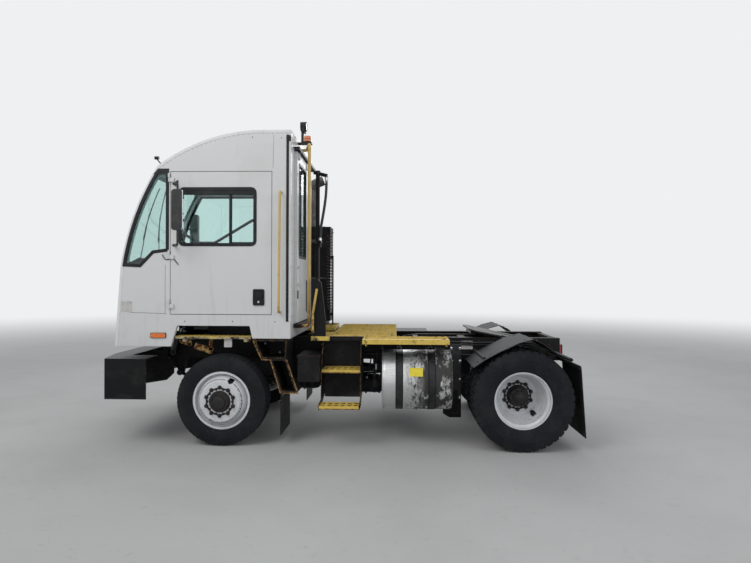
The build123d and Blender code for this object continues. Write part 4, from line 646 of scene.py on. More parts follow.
def tyre_profile(outer, half, kind, step):
    every = NOTCH_EVERY[kind]
    wave = half * 0.018 * (1 if step // 3 % 2 else -1)
    notched = step % every == 0
    side = [(half * share - (0.004 if notched and up > 0.9 else 0.0), RIM_SEAT + (outer - 0.02 - RIM_SEAT) * up)
            for up, share in SIDEWALL]
    rows = [(-across, radius) for across, radius in side]
    depth = outer - GROOVE[kind] - 0.004
    ribs = TREAD_RIBS[kind]
    last = len(ribs) - 1
    for index, (start, stop) in enumerate(ribs):
        low = notched if index in (0, last) or kind == "rib" else (step + every // 2) % every == 0
        for edge, inner, past in ((start, index > 0, -0.0015), (stop, index < last, 0.0015)):
            across = edge * half + (wave if inner else 0)
            crown = (across, outer - 0.009 * (across / half) ** 2 - (NOTCH[kind] if low else 0))
            groove = [(across + past, depth)] if inner else []
            rows += [*groove, crown] if past < 0 else [crown, *groove]
    return rows + side[::-1]


def build_tyre(name, centre, outer, width, kind, body, stands_for):
    verts = []
    faces = []
    for step in range(TREAD_STEPS):
        angle = 2 * math.pi * step / TREAD_STEPS
        ring = tyre_profile(outer, width / 2, kind, step)
        verts += [(centre.x + radius * math.cos(angle), centre.y + across, centre.z + radius * math.sin(angle))
                  for across, radius in ring]
        base, after = step * len(ring), (step + 1) % TREAD_STEPS * len(ring)
        for index in range(len(ring)):
            follow = (index + 1) % len(ring)
            faces.append((base + index, base + follow, after + follow, after + index))
    mesh = bpy.data.meshes.new(name)
    mesh.from_pydata(verts, [], faces)
    cover(mesh, "tyre_rubber", 30)
    enter(link(name, mesh), body, stands_for)


for side, sign in SIDES:
    low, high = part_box(f"front_{side}_tyre")
    build_tyre(f"front_{side}_tread", (low + high) / 2, (high.z - low.z) / 2, high.y - low.y, "rib",
               f"front_{side}", f"front_{side}_tyre")
    low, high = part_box(f"rear_{side}_tyres")
    reach = (high.y - low.y - REAR_TYRE_WIDTH) / 2 * sign
    for place, offset in (("outer", reach), ("inner", -reach)):
        build_tyre(f"rear_{side}_{place}_tread", (low + high) / 2 + Vector((0, offset, 0)), (high.z - low.z) / 2,
                   REAR_TYRE_WIDTH, "lug", f"rear_{side}", f"rear_{side}_tyres")


# Wheel nuts, hub caps and axle flanges. A profile is of (along the axle, radius).
Hub = namedtuple("Hub", "end x radius disc_y nut cap_y cap_ring cap_bolt hub_end cap flange_y flange")
HUBS = (
    Hub("front", 0, FRONT_R, 1.16, 0.03, 1.196, 0.08, (0.008, 0.01), 1.21,
        ((0, 0.064), (0.003, 0.062), (0.004, 0.048), (0.008, 0.044), (0.011, 0.03), (0.0115, 0.001)),
        1.162, ((0, 0.1075), (0.004, 0.1075), (0.008, 0.103), (0.008, 0.096))),
    Hub("rear", -WHEELBASE, REAR_R, 0.9045, 0.034, 1.0045, 0.081, (0.009, 0.014), 1.0185,
        ((0, 0.064), (0.004, 0.063), (0.006, 0.05), (0.018, 0.046), (0.026, 0.034), (0.029, 0.001)),
        0.9045, ((0, 0.115), (0.004, 0.115), (0.007, 0.112), (0.007, 0.108))),
)
STUD_COUNT = 10
CAP_BOLT_COUNT = 8

for side, sign in SIDES:
    for hub in HUBS:
        @piece(f"{hub.end}_{side}", "axle_iron", name=f"{hub.end}_{side}_nuts")
        def nuts(bm):
            for y, ring, count, size in ((hub.disc_y, STUD_CIRCLE, STUD_COUNT, (0.016, hub.nut)),
                                         (hub.cap_y, hub.cap_ring, CAP_BOLT_COUNT, hub.cap_bolt)):
                add_bolts(bm, put(circle(hub.x, hub.radius, ring, count, 0.5), "xz", sign * y), (0, sign, 0), *size)
            add_lathe(bm, hub.cap, (hub.x, sign * hub.hub_end, hub.radius), 40, sign)
            add_lathe(bm, hub.flange, (hub.x, sign * hub.flange_y, hub.radius), 48, sign)


# Cab side outline: nose line, windscreen arc, roof arc and roof line, as (x, z).
def circle_through(a, b, c):
    (ax, az), (bx, bz), (cx, cz) = a, b, c
    d = 2 * (ax * (bz - cz) + bx * (cz - az) + cx * (az - bz))
    sa, sb, sc = ax * ax + az * az, bx * bx + bz * bz, cx * cx + cz * cz
    x = (sa * (bz - cz) + sb * (cz - az) + sc * (az - bz)) / d
    z = (sa * (cx - bx) + sb * (ax - cx) + sc * (bx - ax)) / d
    return x, z, math.hypot(ax - x, az - z)


NOSE = (1.134, 1.009)
BELT = (1.076, 1.828)
KNEE = (0.69, 2.88)
ROOF_FRONT = (-0.3, 3.242)
ROOF_REAR = (-0.7, 3.244)
SCREEN_ARC = circle_through(BELT, (0.905, 2.462), KNEE)
ROOF_ARC = circle_through(KNEE, (0.2, 3.14), ROOF_FRONT)
CAB_FACES = ((LEFT_FACE, LEFT), (RIGHT_FACE, RIGHT))


def arc_points(arc, first, last, inset, steps):
    x, z, radius = arc
    start = math.atan2(first[1] - z, first[0] - x)
    stop = math.atan2(last[1] - z, last[0] - x)
    for step in range(steps + 1):
        angle = start + (stop - start) * step / steps
        yield (x + (radius - inset) * math.cos(angle), z + (radius - inset) * math.sin(angle))


def cab_line(inset, nose=True):
    slope = (Vector(BELT) - Vector(NOSE)).normalized()
    points = []
    for share in (0.0, 0.5) if nose else ():
        x, z = part_way(NOSE, BELT, share)
        points.append((x - inset * slope.y, z + inset * slope.x))
    points += arc_points(SCREEN_ARC, BELT, KNEE, inset, 18)
    points += list(arc_points(ROOF_ARC, KNEE, ROOF_FRONT, inset, 20))[1:]
    return [*points, (ROOF_REAR[0] + 0.001, ROOF_REAR[1] - inset)]


@piece("cab", "trim_white", 0.0008)
def cab_edge_trim(bm):
    for face, out in CAB_FACES:
        add_prism(bm, cab_line(0.002) + cab_line(0.03)[::-1], "xz", face, face + out * 0.0025)


@piece("cab", "strap_steel", 0)
def cab_rivets(bm):
    line = cab_line(0.038, nose=False)
    for face, out in CAB_FACES:
        left_over = 0.0
        for start, stop in zip(line, line[1:]):
            run = math.dist(start, stop)
            while left_over < run:
                place = part_way(start, stop, left_over / run)
                add_domes(bm, put([place], "xz", face), (0, out, 0), 0.003, 0.0018, 8)
                left_over += 0.05
            left_over -= run


@piece("cab", "plastic_black")
def cab_corner_strip(bm):
    add_box(bm, -0.679, -0.652, LEFT_FACE, LEFT_FACE + 0.004, 1.272, 3.193)
    add_box(bm, -0.7, -0.655, LEFT_FACE, LEFT_FACE + 0.01, 3.13, 3.185)


# Windows. The right wall's window runs on to the windscreen post, so its wall is cut again from the CAD wall.
DOOR = (-0.5, 0.55, 1.345, 2.815)
DOOR_WINDOW = (-0.33, 0.455, 2.062, 2.64)
DIVIDER_X = -0.072
QUARTER = ((0.582, 2.004), (0.734, 1.983), (0.871, 1.84))
QUARTER_TOP = 2.835
RIGHT_WINDOW_TOP = 2.76
REAR_WINDOW = (0.285, 0.746, 1.95, 2.96)
WINDSCREEN = (-0.25, 0.97, 1.87, 2.79)


def screen_x(z, out=0.0):
    x, centre_z, radius = SCREEN_ARC
    return x + math.sqrt((radius + out) ** 2 - (z - centre_z) ** 2)


def screen_line(low, high, inset, steps):
    heights = [low + (high - low) * step / steps for step in range(steps + 1)]
    return [(screen_x(z, -inset), z) for z in heights]


WINDOW_REAR, WINDOW_FRONT, WINDOW_LOW, WINDOW_TOP = DOOR_WINDOW
RIGHT_WINDOW_FRONT = [*screen_line(WINDOW_LOW, RIGHT_WINDOW_TOP, 0.04, 16), (WINDOW_REAR, RIGHT_WINDOW_TOP)]
RIGHT_WINDOW = [(WINDOW_REAR, WINDOW_LOW), *RIGHT_WINDOW_FRONT]


def opening(bm):
    add_prism(bm, RIGHT_WINDOW, "xz", RIGHT_FACE - 0.05, RIGHT_FACE + 0.1)


cutter = link("cutter", drawn("cutter", opening))
wall = link("right_wall_panel", NODES["cab_right_wall"].data.copy())
cut = wall.modifiers.new("window", "BOOLEAN")
cut.object = cutter
cut.operation = "DIFFERENCE"
cut.solver = "EXACT"
wall.data = evaluated(wall)
wall.modifiers.clear()
bpy.data.objects.remove(cutter)
enter(wall, "cab", "cab_right_wall")


@piece("cab", "window_glass", 0)
def right_window_pane(bm):
    rear = [(WINDOW_REAR, WINDOW_TOP), (WINDOW_FRONT, WINDOW_TOP)]
    outline = [(WINDOW_FRONT, WINDOW_LOW), *RIGHT_WINDOW_FRONT, *rear]
    add_prism(bm, outline, "xz", RIGHT_FACE + 0.013, RIGHT_FACE + 0.018)


@piece("cab", "plastic_black")
def quarter_window_rubber(bm):
    outline = [*QUARTER, *screen_line(1.848, QUARTER_TOP, 0.032, 24), (QUARTER[0][0], QUARTER_TOP)]
    add_band(bm, outline, "xz", 0.014, 0.02, LEFT_FACE - 0.016, LEFT_FACE + 0.004)
    corner = [(0.57, 2.79), (0.735, 2.79), (0.69, 2.845), (0.57, 2.85)]
    add_prism(bm, corner, "xz", LEFT_FACE, LEFT_FACE + 0.003)


@piece("cab_door", "plastic_black")
def door_window_rubber(bm):
    x0, x1, z0, z1 = DOOR_WINDOW
    add_band(bm, panel(*DOOR_WINDOW, 0.05), "xz", 0.016, 0.018, LEFT_FACE - 0.022, LEFT_FACE + 0.005)
    add_prism(bm, panel(x0 + 0.004, x1 - 0.004, z1 - 0.062, z1, 0.012), "xz", LEFT_FACE - 0.014, LEFT_FACE + 0.003)
    add_box(bm, DIVIDER_X - 0.013, DIVIDER_X + 0.013, LEFT_FACE - 0.03, LEFT_FACE - 0.002, z0, z1 - 0.05)
    add_box(bm, x0, DIVIDER_X, LEFT_FACE - 0.034, LEFT_FACE - 0.026, z0 + 0.016, z0 + 0.03)


@piece("cab", "plastic_black")
def right_window_rubber(bm):
    add_band(bm, RIGHT_WINDOW, "xz", 0.012, 0.018, RIGHT_FACE - 0.005, RIGHT_FACE + 0.034)


@piece("rear_door", "plastic_black")
def rear_window_rubber(bm):
    add_band(bm, panel(*REAR_WINDOW, 0.04), "yz", 0.014, 0.016, REAR_DOOR_FACE - 0.004, REAR_DOOR_FACE + 0.0125)


@piece("cab", "plastic_black")
def door_seal(bm):
    add_band(bm, rectangle(*DOOR), "xz", 0.02, 0.006, LEFT_FACE - 0.046, LEFT_FACE - 0.036)


@piece("cab", "plastic_black")
def windscreen_rubber(bm):
    outer = panel(*WINDSCREEN, 0.07, 8)
    dense = []
    for here, after in zip(outer, outer[1:] + outer[:1]):
        parts = max(1, int(math.dist(here, after) / 0.05))
        dense += [part_way(here, after, step / parts) for step in range(parts)]
    wide, tight = grown(dense, 0.018), grown(dense, -0.022)
    loft(bm, [[(screen_x(z, out), y, z) for y, z in line]
              for line, out in ((wide, -0.002), (wide, 0.005), (tight, 0.005), (tight, -0.016))], True)


WIPER_LOW = 1.83
WIPER_TOP = 2.42


@piece("cab", "plastic_black", 0)
def wipers(bm):
    for foot, tip in ((0.1, 0.42), (0.62, 0.7)):
        pivot = Vector((screen_x(WIPER_LOW, 0.016), foot, WIPER_LOW))
        add_peg(bm, pivot - Vector((0.03, 0, 0)), (0.04, 0, 0), 0.014)
        add_tube(bm, pivot, (screen_x(WIPER_TOP, 0.018), tip, WIPER_TOP), 0.006, 0.004, 10)
        blade = [2.14 + 0.07 * step for step in range(9)]
        add_run(bm, [(screen_x(z, 0.01), foot + (tip - foot) * (z - WIPER_LOW) / (WIPER_TOP - WIPER_LOW), z)
                     for z in blade], 0.006, 8)


HANDLE = panel(-0.425, -0.316, 1.441, 1.601, 0.012)


@piece("cab_door", "plastic_black")
def door_handle(bm):
    add_prism(bm, HANDLE, "xz", LEFT_FACE, LEFT_FACE + 0.006)
    add_band(bm, HANDLE, "xz", 0.004, 0.01, LEFT_FACE, LEFT_FACE + 0.011)
    add_prism(bm, panel(-0.41, -0.331, 1.515, 1.56, 0.012), "xz", LEFT_FACE + 0.006, LEFT_FACE + 0.02)


@piece("cab_door", "rod_chrome")
def door_lock(bm):
    add_peg(bm, (-0.37, LEFT_FACE + 0.004, 1.472), (0, 0.008, 0), 0.011)


@piece("cab_door", "mirror_glass")
def door_mirror_glass(bm):
    for z0, z1 in ((2.362, 2.59), (2.206, 2.346)):
        add_prism(bm, panel(1.231, 1.269, z0, z1, 0.01), "yz", 0.3445, 0.35)


# Decks: serrated diamond grip on each sheet, a plain outer strip and the bolts that hold it.
GRIP_PITCH = 0.06
GRIP_ROW = 0.042
GRIP_CELL = 0.046
GRIP_SHEETS = (
    (-1.785, -1.085, -0.835, 0.835), (-1.075, -0.89, 0.358, 0.87), (-2.312, -1.453, 0.846, 1.128),
    (-0.995, -0.646, -0.995, -0.36), (-0.554, -0.425, -0.995, -0.36), (-0.64, -0.565, -0.995, -0.44),
)
LEDGE_SHEET = (-0.28, 0.5, 0.885, 1.05)
LEDGE_TOP = 1.11


def add_grip_cell(bm, x, y, z, along, across, height):
    """One opening of grip grating: two raised, saw-edged lips."""
    for lip in (-1, 1):
        points = []
        for step in range(5):
            share = step / 4
            bow = (1 - abs(2 * share - 1)) * across * 0.34
            points.append((x + (share - 0.5) * along, y + lip * across * 0.5 - lip * (across * 0.5 - bow) * 0.9))
        for (x0, y0), (x1, y1) in zip(points, points[1:]):
            a, b, c, d, peak = [bm.verts.new(place) for place in (
                (x0, y0, z), (x1, y1, z), (x1, y1 + lip * 0.004, z), (x0, y0 + lip * 0.004, z),
                ((x0 + x1) / 2, (y0 + y1) / 2 + lip * 0.0015, z + height))]
            for corners in ((a, b, peak), (c, d, peak), (b, c, peak), (d, a, peak), (a, d, c, b)):
                bm.faces.new(corners)


def grip_places(sheets, pitch, row):
    for x0, x1, y0, y1 in sheets:
        count = max(1, int((x1 - x0) / pitch))
        for across, y in enumerate(spread(y0, y1, max(1, int((y1 - y0) / row)))):
            shift = (0.25 if across % 2 else -0.25) * (x1 - x0) / count
            for x in spread(x0, x1, count):
                yield x + shift, y


@piece("chassis", "deck_yellow", 0)
def deck_grip(bm):
    for x, y in grip_places(GRIP_SHEETS, GRIP_PITCH, GRIP_ROW):
        add_grip_cell(bm, x, y, DECK_TOP, GRIP_CELL, 0.03, 0.011)
    for x, y in grip_places((LEDGE_SHEET,), 0.052, 0.04):
        add_grip_cell(bm, x, y, LEDGE_TOP, 0.04, 0.028, 0.009)


# Painted shade: a flat near-black diamond in each grip opening stands for the shade seen through the hole, in the
# black rubber finish.
@piece("chassis", "flap_rubber", 0)
def deck_gap_shade(bm):
    along, across = GRIP_CELL * 0.92 / 2, 0.023 / 2
    for x, y in grip_places(GRIP_SHEETS, GRIP_PITCH, GRIP_ROW):
        corners = [(x - along, y), (x, y - across), (x + along, y), (x, y + across)]
        add_prism(bm, corners, "xy", DECK_TOP, DECK_TOP + 0.0008)


@piece("chassis", "deck_yellow")
def deck_strip(bm):
    add_prism(bm, panel(-2.31, -1.455, 1.132, 1.186, 0.006, 2), "xy", DECK_TOP, DECK_TOP + 0.004)
    for step in range(28):
        x = -2.296 + step * 0.0308
        add_prism(bm, [(x - 0.01, 1.1895), (x + 0.01, 1.1895), (x + 0.003, 1.1895)], "xy", 1.09, 1.1)


@piece("chassis", "plate_steel", 0)
def deck_bolts(bm):
    places = [(-1.48, 1.086), (-2.275, 1.084), (-1.48, 0.87), (-2.275, 0.87), *product((-1.74, -1.13), (0.6, -0.6)),
              *product((-0.95, -0.47), (-0.9, -0.42))]
    for place in put(places, "xy", DECK_TOP):
        add_peg(bm, place, (0, 0, 0.003), 0.018)
    add_bolts(bm, put(places, "xy", DECK_TOP + 0.003), UP, 0.01, 0.01)
    add_bolts(bm, product((-1.475, -2.285), (0.76,), (0.985, 1.035)), AHEAD, 0.009, 0.009)


# Steps below the door and the ladder in front of the tank. A tread is (inner y, outer y, top).
TREADS = ((1.014, 1.213, 0.44), (0.736, 0.994, 0.768))
TREAD_X = (-1.414, -1.016)
CAB_STEP_FACE = 1.055
CAB_TREADS = (((-0.404, 0.886), (-0.497, 0.881)), ((-0.601, 0.542), (-0.771, 0.542)))
TOOTH = (0.0062, 0.0028, 6)


@piece("chassis", "deck_yellow", 0)
def ladder_teeth(bm):
    for y0, y1, top in TREADS:
        for y, x in product(spread(y0, y1, 7)[::3], spread(*TREAD_X, 26)):
            add_peg(bm, (x, y, top), (0, 0, 0.008), *TOOTH)


@piece("chassis", "step_black", 0)
def step_teeth(bm):
    for start, stop in CAB_TREADS:
        for share, step in product(spread(0, 1, 3), range(16)):
            x, z = part_way(start, stop, share)
            add_peg(bm, (x, 0.715 + 0.0206 * step, z), (0, 0, 0.0055), *TOOTH)


@piece("chassis", "edge_orange", 0)
def step_worn_edges(bm):
    line = [(-0.318, 1.075), (-0.404, 0.886), (-0.497, 0.881), (-0.601, 0.542), (-0.771, 0.542), (-0.655, 0.878)]
    inner = grown([*line, (-0.66, 1.075)], -0.011)
    for a, b, d, c in zip(line, line[1:], inner, inner[1:]):
        add_prism(bm, [a, b, c, d], "xz", CAB_STEP_FACE, CAB_STEP_FACE + 0.0022)
    for _, y, top in TREADS:
        add_box(bm, TREAD_X[0] - 0.004, TREAD_X[1] + 0.004, y + 0.006, y + 0.0078, top - 0.029, top - 0.02)


@piece("chassis", "strap_steel", 0)
def step_bolts(bm):
    places = ((1.05, 0.425), (1.17, 0.425), (0.77, 0.753), (0.95, 0.753), (0.905, 1.02), (0.905, 0.95))
    for x, way in ((-1.42, BACK), (-1.01, AHEAD)):
        add_bolts(bm, put(places, "yz", x), way, 0.009, 0.009)
    add_bolts(bm, put(((-0.44, 1.045), (-0.59, 0.955)), "xz", CAB_STEP_FACE), OUTWARD, 0.009, 0.009)


@piece("chassis", "rail_yellow", 0.0006)
def saw_bracket(bm):
    for count, start, stop, low in (
            (10, (0.347, 1.027), (0.154, 0.964), [(0.178, 0.908), (0.372, 0.968)]),
            (6, (0.524, 1.056), (0.395, 1.019), [(0.402, 0.99), (0.52, 1.03)])):
        points = []
        for step in range(count * 2 + 1):
            x, z = part_way(start, stop, step / (count * 2))
            points.append((x, z + 0.009 * (step % 2)))
        add_prism(bm, points + low, "xz", 0.88, 0.884)
    add_box(bm, 0.165, 0.205, 0.866, 0.884, 0.95, 1.092)
    add_box(bm, 0.395, 0.425, 0.866, 0.884, 1.0, 1.092)


@piece("chassis", "label_white", 0.0006)
def sill_tab(bm):
    add_prism(bm, panel(-0.084, -0.002, 1.001, 1.092, 0.008, 3), "xz", 1.02, 1.026)
    add_bolts(bm, [(-0.043, 1.026, 1.03)], OUTWARD, 0.006, 0.006)


# Fuel tank: strap bolts, liners, end seams, filler cap, fuel lines and a blank label.
TANK_X, TANK_Y, TANK_Z = -1.998, 0.89, 0.668
TANK_REAR, TANK_FRONT = -2.354, -1.642
TANK_RADIUS = 0.305
STRAPS = (-1.818, -2.146)


def add_ring(bm, x, half, inner, outer):
    """A band round the tank's axis."""
    loft(bm, [put(circle(TANK_Y, TANK_Z, radius, 72), "yz", x + side * half)
              for side, radius in ((-1, inner), (-1, outer), (1, outer), (1, inner))], True)


@piece("chassis", "flap_rubber", 0)
def tank_liners(bm):
    for x, edge in product(STRAPS, (-0.034, 0.034)):
        add_ring(bm, x + edge, 0.004, TANK_RADIUS - 0.001, TANK_RADIUS + 0.0035)


@piece("chassis", "tank_metal", 0.0008)
def tank_seams(bm):
    for x in (TANK_REAR + 0.012, TANK_FRONT - 0.012):
        add_ring(bm, x, 0.006, TANK_RADIUS - 0.002, TANK_RADIUS + 0.0035)
    add_box(bm, TANK_REAR + 0.02, TANK_FRONT - 0.02, TANK_Y + 0.15, TANK_Y + 0.156, TANK_Z - 0.267, TANK_Z - 0.262)
    add_ring(bm, -1.93, 0.0015, TANK_RADIUS - 0.001, TANK_RADIUS + 0.001)


@piece("chassis", "plate_steel", 0.0006)
def strap_clamps(bm):
    y = TANK_Y - 0.055
    for x in STRAPS:
        add_tube(bm, (x, y, 0.955), (x, y, 1.02), 0.0065, sides=12)
        add_peg(bm, (x - 0.03, y, 0.985), (0.06, 0, 0), 0.01, sides=16)
        add_bolts(bm, [(x, y, 0.998)], UP, 0.011, 0.012)
        add_peg(bm, (x - 0.032, 1.11, 0.888), (0.064, 0, 0), 0.009, sides=16)
        add_tube(bm, (x, 1.104, 0.882), (x, 1.128, 0.906), 0.0065, sides=12)


@piece("chassis", "plastic_black")
def tank_cap(bm):
    x, y = -2.23, 0.95
    add_tube(bm, (x, y, 1.006), (x, y, 1.026), 0.058, 0.056, 36)
    for u, v in circle(x, y, 0.056, 12):
        add_box(bm, u - 0.004, u + 0.004, v - 0.004, v + 0.004, 1.004, 1.024)
    add_box(bm, x - 0.045, x + 0.045, y - 0.007, y + 0.007, 1.026, 1.036)


@piece("chassis", "label_yellow", 0)
def tank_label(bm):
    rings = []
    for step in range(9):
        z = 0.742 + 0.082 * step / 8
        y = TANK_Y + math.sqrt((TANK_RADIUS + 0.0008) ** 2 - (z - TANK_Z) ** 2)
        rings.append([(u, v, z) for u, v in rectangle(-2.054, -1.921, y, y + 0.0007)])
    loft(bm, rings)


@piece("chassis", "hose_rubber", 0)
def fuel_lines(bm):
    route = ((-1.66, 0.9, 0.93), (-1.64, 0.9, 1.0), (-1.6, 0.87, 1.02), (-1.56, 0.79, 1.01), (-1.545, 0.62, 1.0),
             (-1.54, 0.445, 0.99))
    add_run(bm, route, 0.01, 12)
    add_run(bm, [(x, y - 0.035, z - 0.005) for x, y, z in route], 0.008, 12)
    add_domes(bm, route[:-1], UP, 0.0102, 0.004)
    add_bolts(bm, [(-1.66, 0.9, 0.912)], UP, 0.014, 0.024)


@piece("chassis", "plate_steel", 0)
def tank_plugs(bm):
    add_bolts(bm, [(TANK_X, TANK_Y, TANK_Z - TANK_RADIUS + 0.001)], DOWN, 0.016, 0.016)
    for x, way in ((TANK_REAR, BACK), (TANK_FRONT, AHEAD)):
        add_bolts(bm, [(x, TANK_Y - 0.1, TANK_Z + 0.12)], way, 0.016, 0.012)


# Rear fenders and flaps. A fender row is (degrees round the rear wheel, height over its tyre).
FENDER_ROWS = ((33.6, 0.093), (47.4, 0.056), (63.4, 0.04), (85.6, 0.077), (98.5, 0.118), (108.3, 0.098),
               (123.3, 0.07), (139.4, 0.123))
FENDER_BOLT_DEGREES = (41, 56, 75, 92, 104, 116, 131)
BEHIND_FLAP = -3.613
BEFORE_FLAP = -0.612


def polar(degrees, over):
    angle = math.radians(degrees)
    radius = REAR_R + over
    return -WHEELBASE + radius * math.cos(angle), REAR_R + radius * math.sin(angle)


def fender_place(degrees):
    """Where the fender is at this angle, and its slope there."""
    for (a, over_a), (b, over_b) in zip(FENDER_ROWS, FENDER_ROWS[1:]):
        if a <= degrees <= b:
            first, last = polar(a, over_a), polar(b, over_b)
            return (*part_way(first, last, (degrees - a) / (b - a)), (Vector(last) - Vector(first)).normalized())
    raise ValueError(degrees)


@piece("chassis", "strap_steel", 0)
def fender_bolts(bm):
    for sign, degrees in product((LEFT, RIGHT), FENDER_BOLT_DEGREES):
        x, z, slope = fender_place(degrees)
        add_domes(bm, [(x, sign * y, z) for y in (0.62, 1.1)], (slope.y, 0, -slope.x), 0.013, 0.007)


@piece("chassis", "plastic_black", 0.001)
def fender_rims(bm):
    for sign in (LEFT, RIGHT):
        face = sign * 1.21
        for (a, over_a), (b, over_b) in zip(FENDER_ROWS, FENDER_ROWS[1:]):
            outline = [polar(a, over_a), polar(b, over_b), polar(b, over_b - 0.009), polar(a, over_a - 0.009)]
            add_prism(bm, outline, "xz", face, face + sign * 0.0035)


@piece("chassis", "rod_chrome", 0)
def flap_bolts(bm):
    for sign in (LEFT, RIGHT):
        for x, z, radius, row in ((BEHIND_FLAP, 0.815, 0.011, (0.6, 0.74, 0.88, 1.02, 1.15)),
                                  (BEFORE_FLAP, 0.515, 0.01, (0.66, 0.78, 0.9, 1.02))):
            add_bolts(bm, [(x, sign * y, z) for y in row], BACK, radius, 0.008)
    add_bolts(bm, product((-2.488, -2.392), (0.606,), (0.42, 0.62, 0.82, 0.96)), OUTWARD, 0.011, 0.008)


@piece("chassis", "plate_steel")
def flap_strips(bm):
    for sign in (LEFT, RIGHT):
        add_box(bm, BEHIND_FLAP - 0.005, BEHIND_FLAP, sign * 0.56, sign * 1.18, 0.8, 0.832)
        add_box(bm, BEFORE_FLAP - 0.005, BEFORE_FLAP, sign * 0.615, sign * 1.07, 0.5, 0.53)


# Frame rails
RAIL_BOLTS = (*product((-3.5, -3.42), (0.88, 0.98)), (-2.72, 0.86), (-2.72, 1.02), (-2.58, 0.86),
              *product((-1.6, -1.5), (0.87, 1.0)), *((x, 0.86) for x in (-0.86, -0.76, -0.2, -0.12, 0.3, 0.38)),
              (0.7, 0.88), (0.78, 0.98))


@piece("chassis", "frame_black", 0)
def rail_bolts(bm):
    for sign in (LEFT, RIGHT):
        add_bolts(bm, put(RAIL_BOLTS, "xz", sign * RAIL_FACE), (0, sign, 0), 0.012, 0.012)


@piece("chassis", "label_white", 0.0004)
def rail_plates(bm):
    add_prism(bm, panel(-2.649, -2.512, 0.928, 1.022, 0.006, 3), "xz", RAIL_FACE, RAIL_FACE + 0.002)
    add_prism(bm, rectangle(-2.449, -2.418, 0.94, 0.984), "xz", RAIL_FACE, RAIL_FACE + 0.001)


@piece("chassis", "hose_rubber", 0)
def rail_lines(bm):
    for z, y, radius in ((1.01, 0.456, 0.011), (0.985, 0.45, 0.008), (0.87, 0.452, 0.01)):
        route = [(-3.3 + step * 0.3, y + 0.004 * math.sin(step * 1.9), z + 0.006 * math.sin(step * 2.3))
                 for step in range(9)]
        add_run(bm, route, radius, 12)
        for u, v, _ in route[1::2]:
            add_box(bm, u - 0.008, u + 0.008, RAIL_FACE, v + radius + 0.002, z - radius - 0.004, z + radius + 0.004)


# Under the cab and the decks: splash shields, air tanks, cables, the guard's lower flap and its pocket.
# An air tank is (rear end, front end, height).
AIR_TANKS = ((-1.64, -1.06, 0.52), (-0.93, -0.64, 0.56))
AIR_Y = 0.325
AIR_RADIUS = 0.105
AIR_FITTINGS = ((-1.452, 0.6), (-1.3, 0.56), (-1.19, 0.64), (-1.13, 0.52))
GUARD_FLAP = (0.607, 0.611)


@piece("chassis", "flap_rubber")
def splash_shields(bm):
    outline = [(0.735, 0.8), (0.735, 0.64), (0.82, 0.56), (1.06, 0.52), (1.15, 0.6), (1.15, 0.9), (0.805, 0.9),
               (0.805, 0.8)]
    for sign in (LEFT, RIGHT):
        add_prism(bm, outline, "xz", sign * 0.486, sign * 0.49)
        add_box(bm, 0.815, 0.875, sign * RAIL_FACE, sign * 0.486, 0.835, 0.885)


@piece("chassis", "frame_black", 0.0008)
def shield_ribs(bm):
    for sign in (LEFT, RIGHT):
        for z in (0.64, 0.7, 0.76, 0.82, 0.88):
            add_box(bm, 0.82, 1.11, sign * 0.49, sign * 0.493, z - 0.006, z + 0.006)
        add_bolts(bm, put(((0.77, 0.66), (0.77, 0.77), (1.13, 0.64), (1.13, 0.88)), "xz", sign * 0.49),
                  (0, sign, 0), 0.009, 0.007)


@piece("chassis", "frame_black", 0)
def air_tanks(bm):
    for start, stop, z in AIR_TANKS:
        rows = ((start, 0.55), (start + 0.03, 0.9), (start + 0.06, 1.0), (stop - 0.06, 1.0), (stop - 0.03, 0.9),
                (stop, 0.55))
        for (x0, r0), (x1, r1) in zip(rows, rows[1:]):
            add_tube(bm, (x0, AIR_Y, z), (x1, AIR_Y, z), AIR_RADIUS * r0, AIR_RADIUS * r1, 40)


@piece("chassis", "strap_steel", 0.0006)
def air_tank_bands(bm):
    for start, stop, z in AIR_TANKS:
        for x in (start + 0.1, stop - 0.1):
            x0, x1 = x - 0.016, x + 0.016
            add_band(bm, circle(AIR_Y, z, AIR_RADIUS + 0.003, 40), "yz", 0.001, 0.003, x0, x1)
            add_box(bm, x0, x1, AIR_Y + 0.06, AIR_Y + 0.066, z + 0.08, 0.812)
            add_box(bm, x0, x1, AIR_Y + 0.06, 0.4, 0.806, 0.812)
            add_bolts(bm, [(x, AIR_Y + 0.066, z + 0.13)], OUTWARD, 0.008, 0.008)
        add_peg(bm, (start + 0.2, AIR_Y, z - AIR_RADIUS - 0.014), (0, 0, 0.018), 0.012, sides=6)


@piece("chassis", "rod_chrome", 0.0006)
def air_fittings(bm):
    for x, y, z in put(AIR_FITTINGS, "xz", 0.436):
        add_peg(bm, (x, y - 0.045, z), (0, 0.04, 0), 0.011, sides=6)
        add_peg(bm, (x, y - 0.03, z), (0, 0.016, 0), 0.015, sides=6)
    add_tube(bm, (-1.56, 0.455, 0.7), (-1.56, 0.455, 0.76), 0.03, sides=24)
    add_tube(bm, (-1.56, 0.455, 0.685), (-1.56, 0.455, 0.7), 0.018, sides=6)


@piece("chassis", "hose_rubber", 0)
def air_pipes(bm):
    for index, (x, z) in enumerate(AIR_FITTINGS):
        end = x - 0.05 + 0.03 * index
        add_run(bm, ((x, 0.428, z), (x, 0.452, z + 0.01), (x - 0.02, 0.462, z + 0.07), (end, 0.46, 0.8),
                     (end, 0.448, 0.86)), 0.0075, beads=True)
    add_run(bm, ((-1.56, 0.455, 0.76), (-1.562, 0.458, 0.84), (-1.57, 0.452, 0.9)), 0.009, beads=True)
    for y, z in ((0.25, 0.66), (0.28, 0.7), (0.22, 0.63)):
        route = ((-1.9, z + 0.1), (-1.62, z), (-1.3, z - 0.02), (-0.98, z + 0.02), (-0.6, z + 0.12))
        add_run(bm, put(route, "xz", y), 0.012, beads=True)


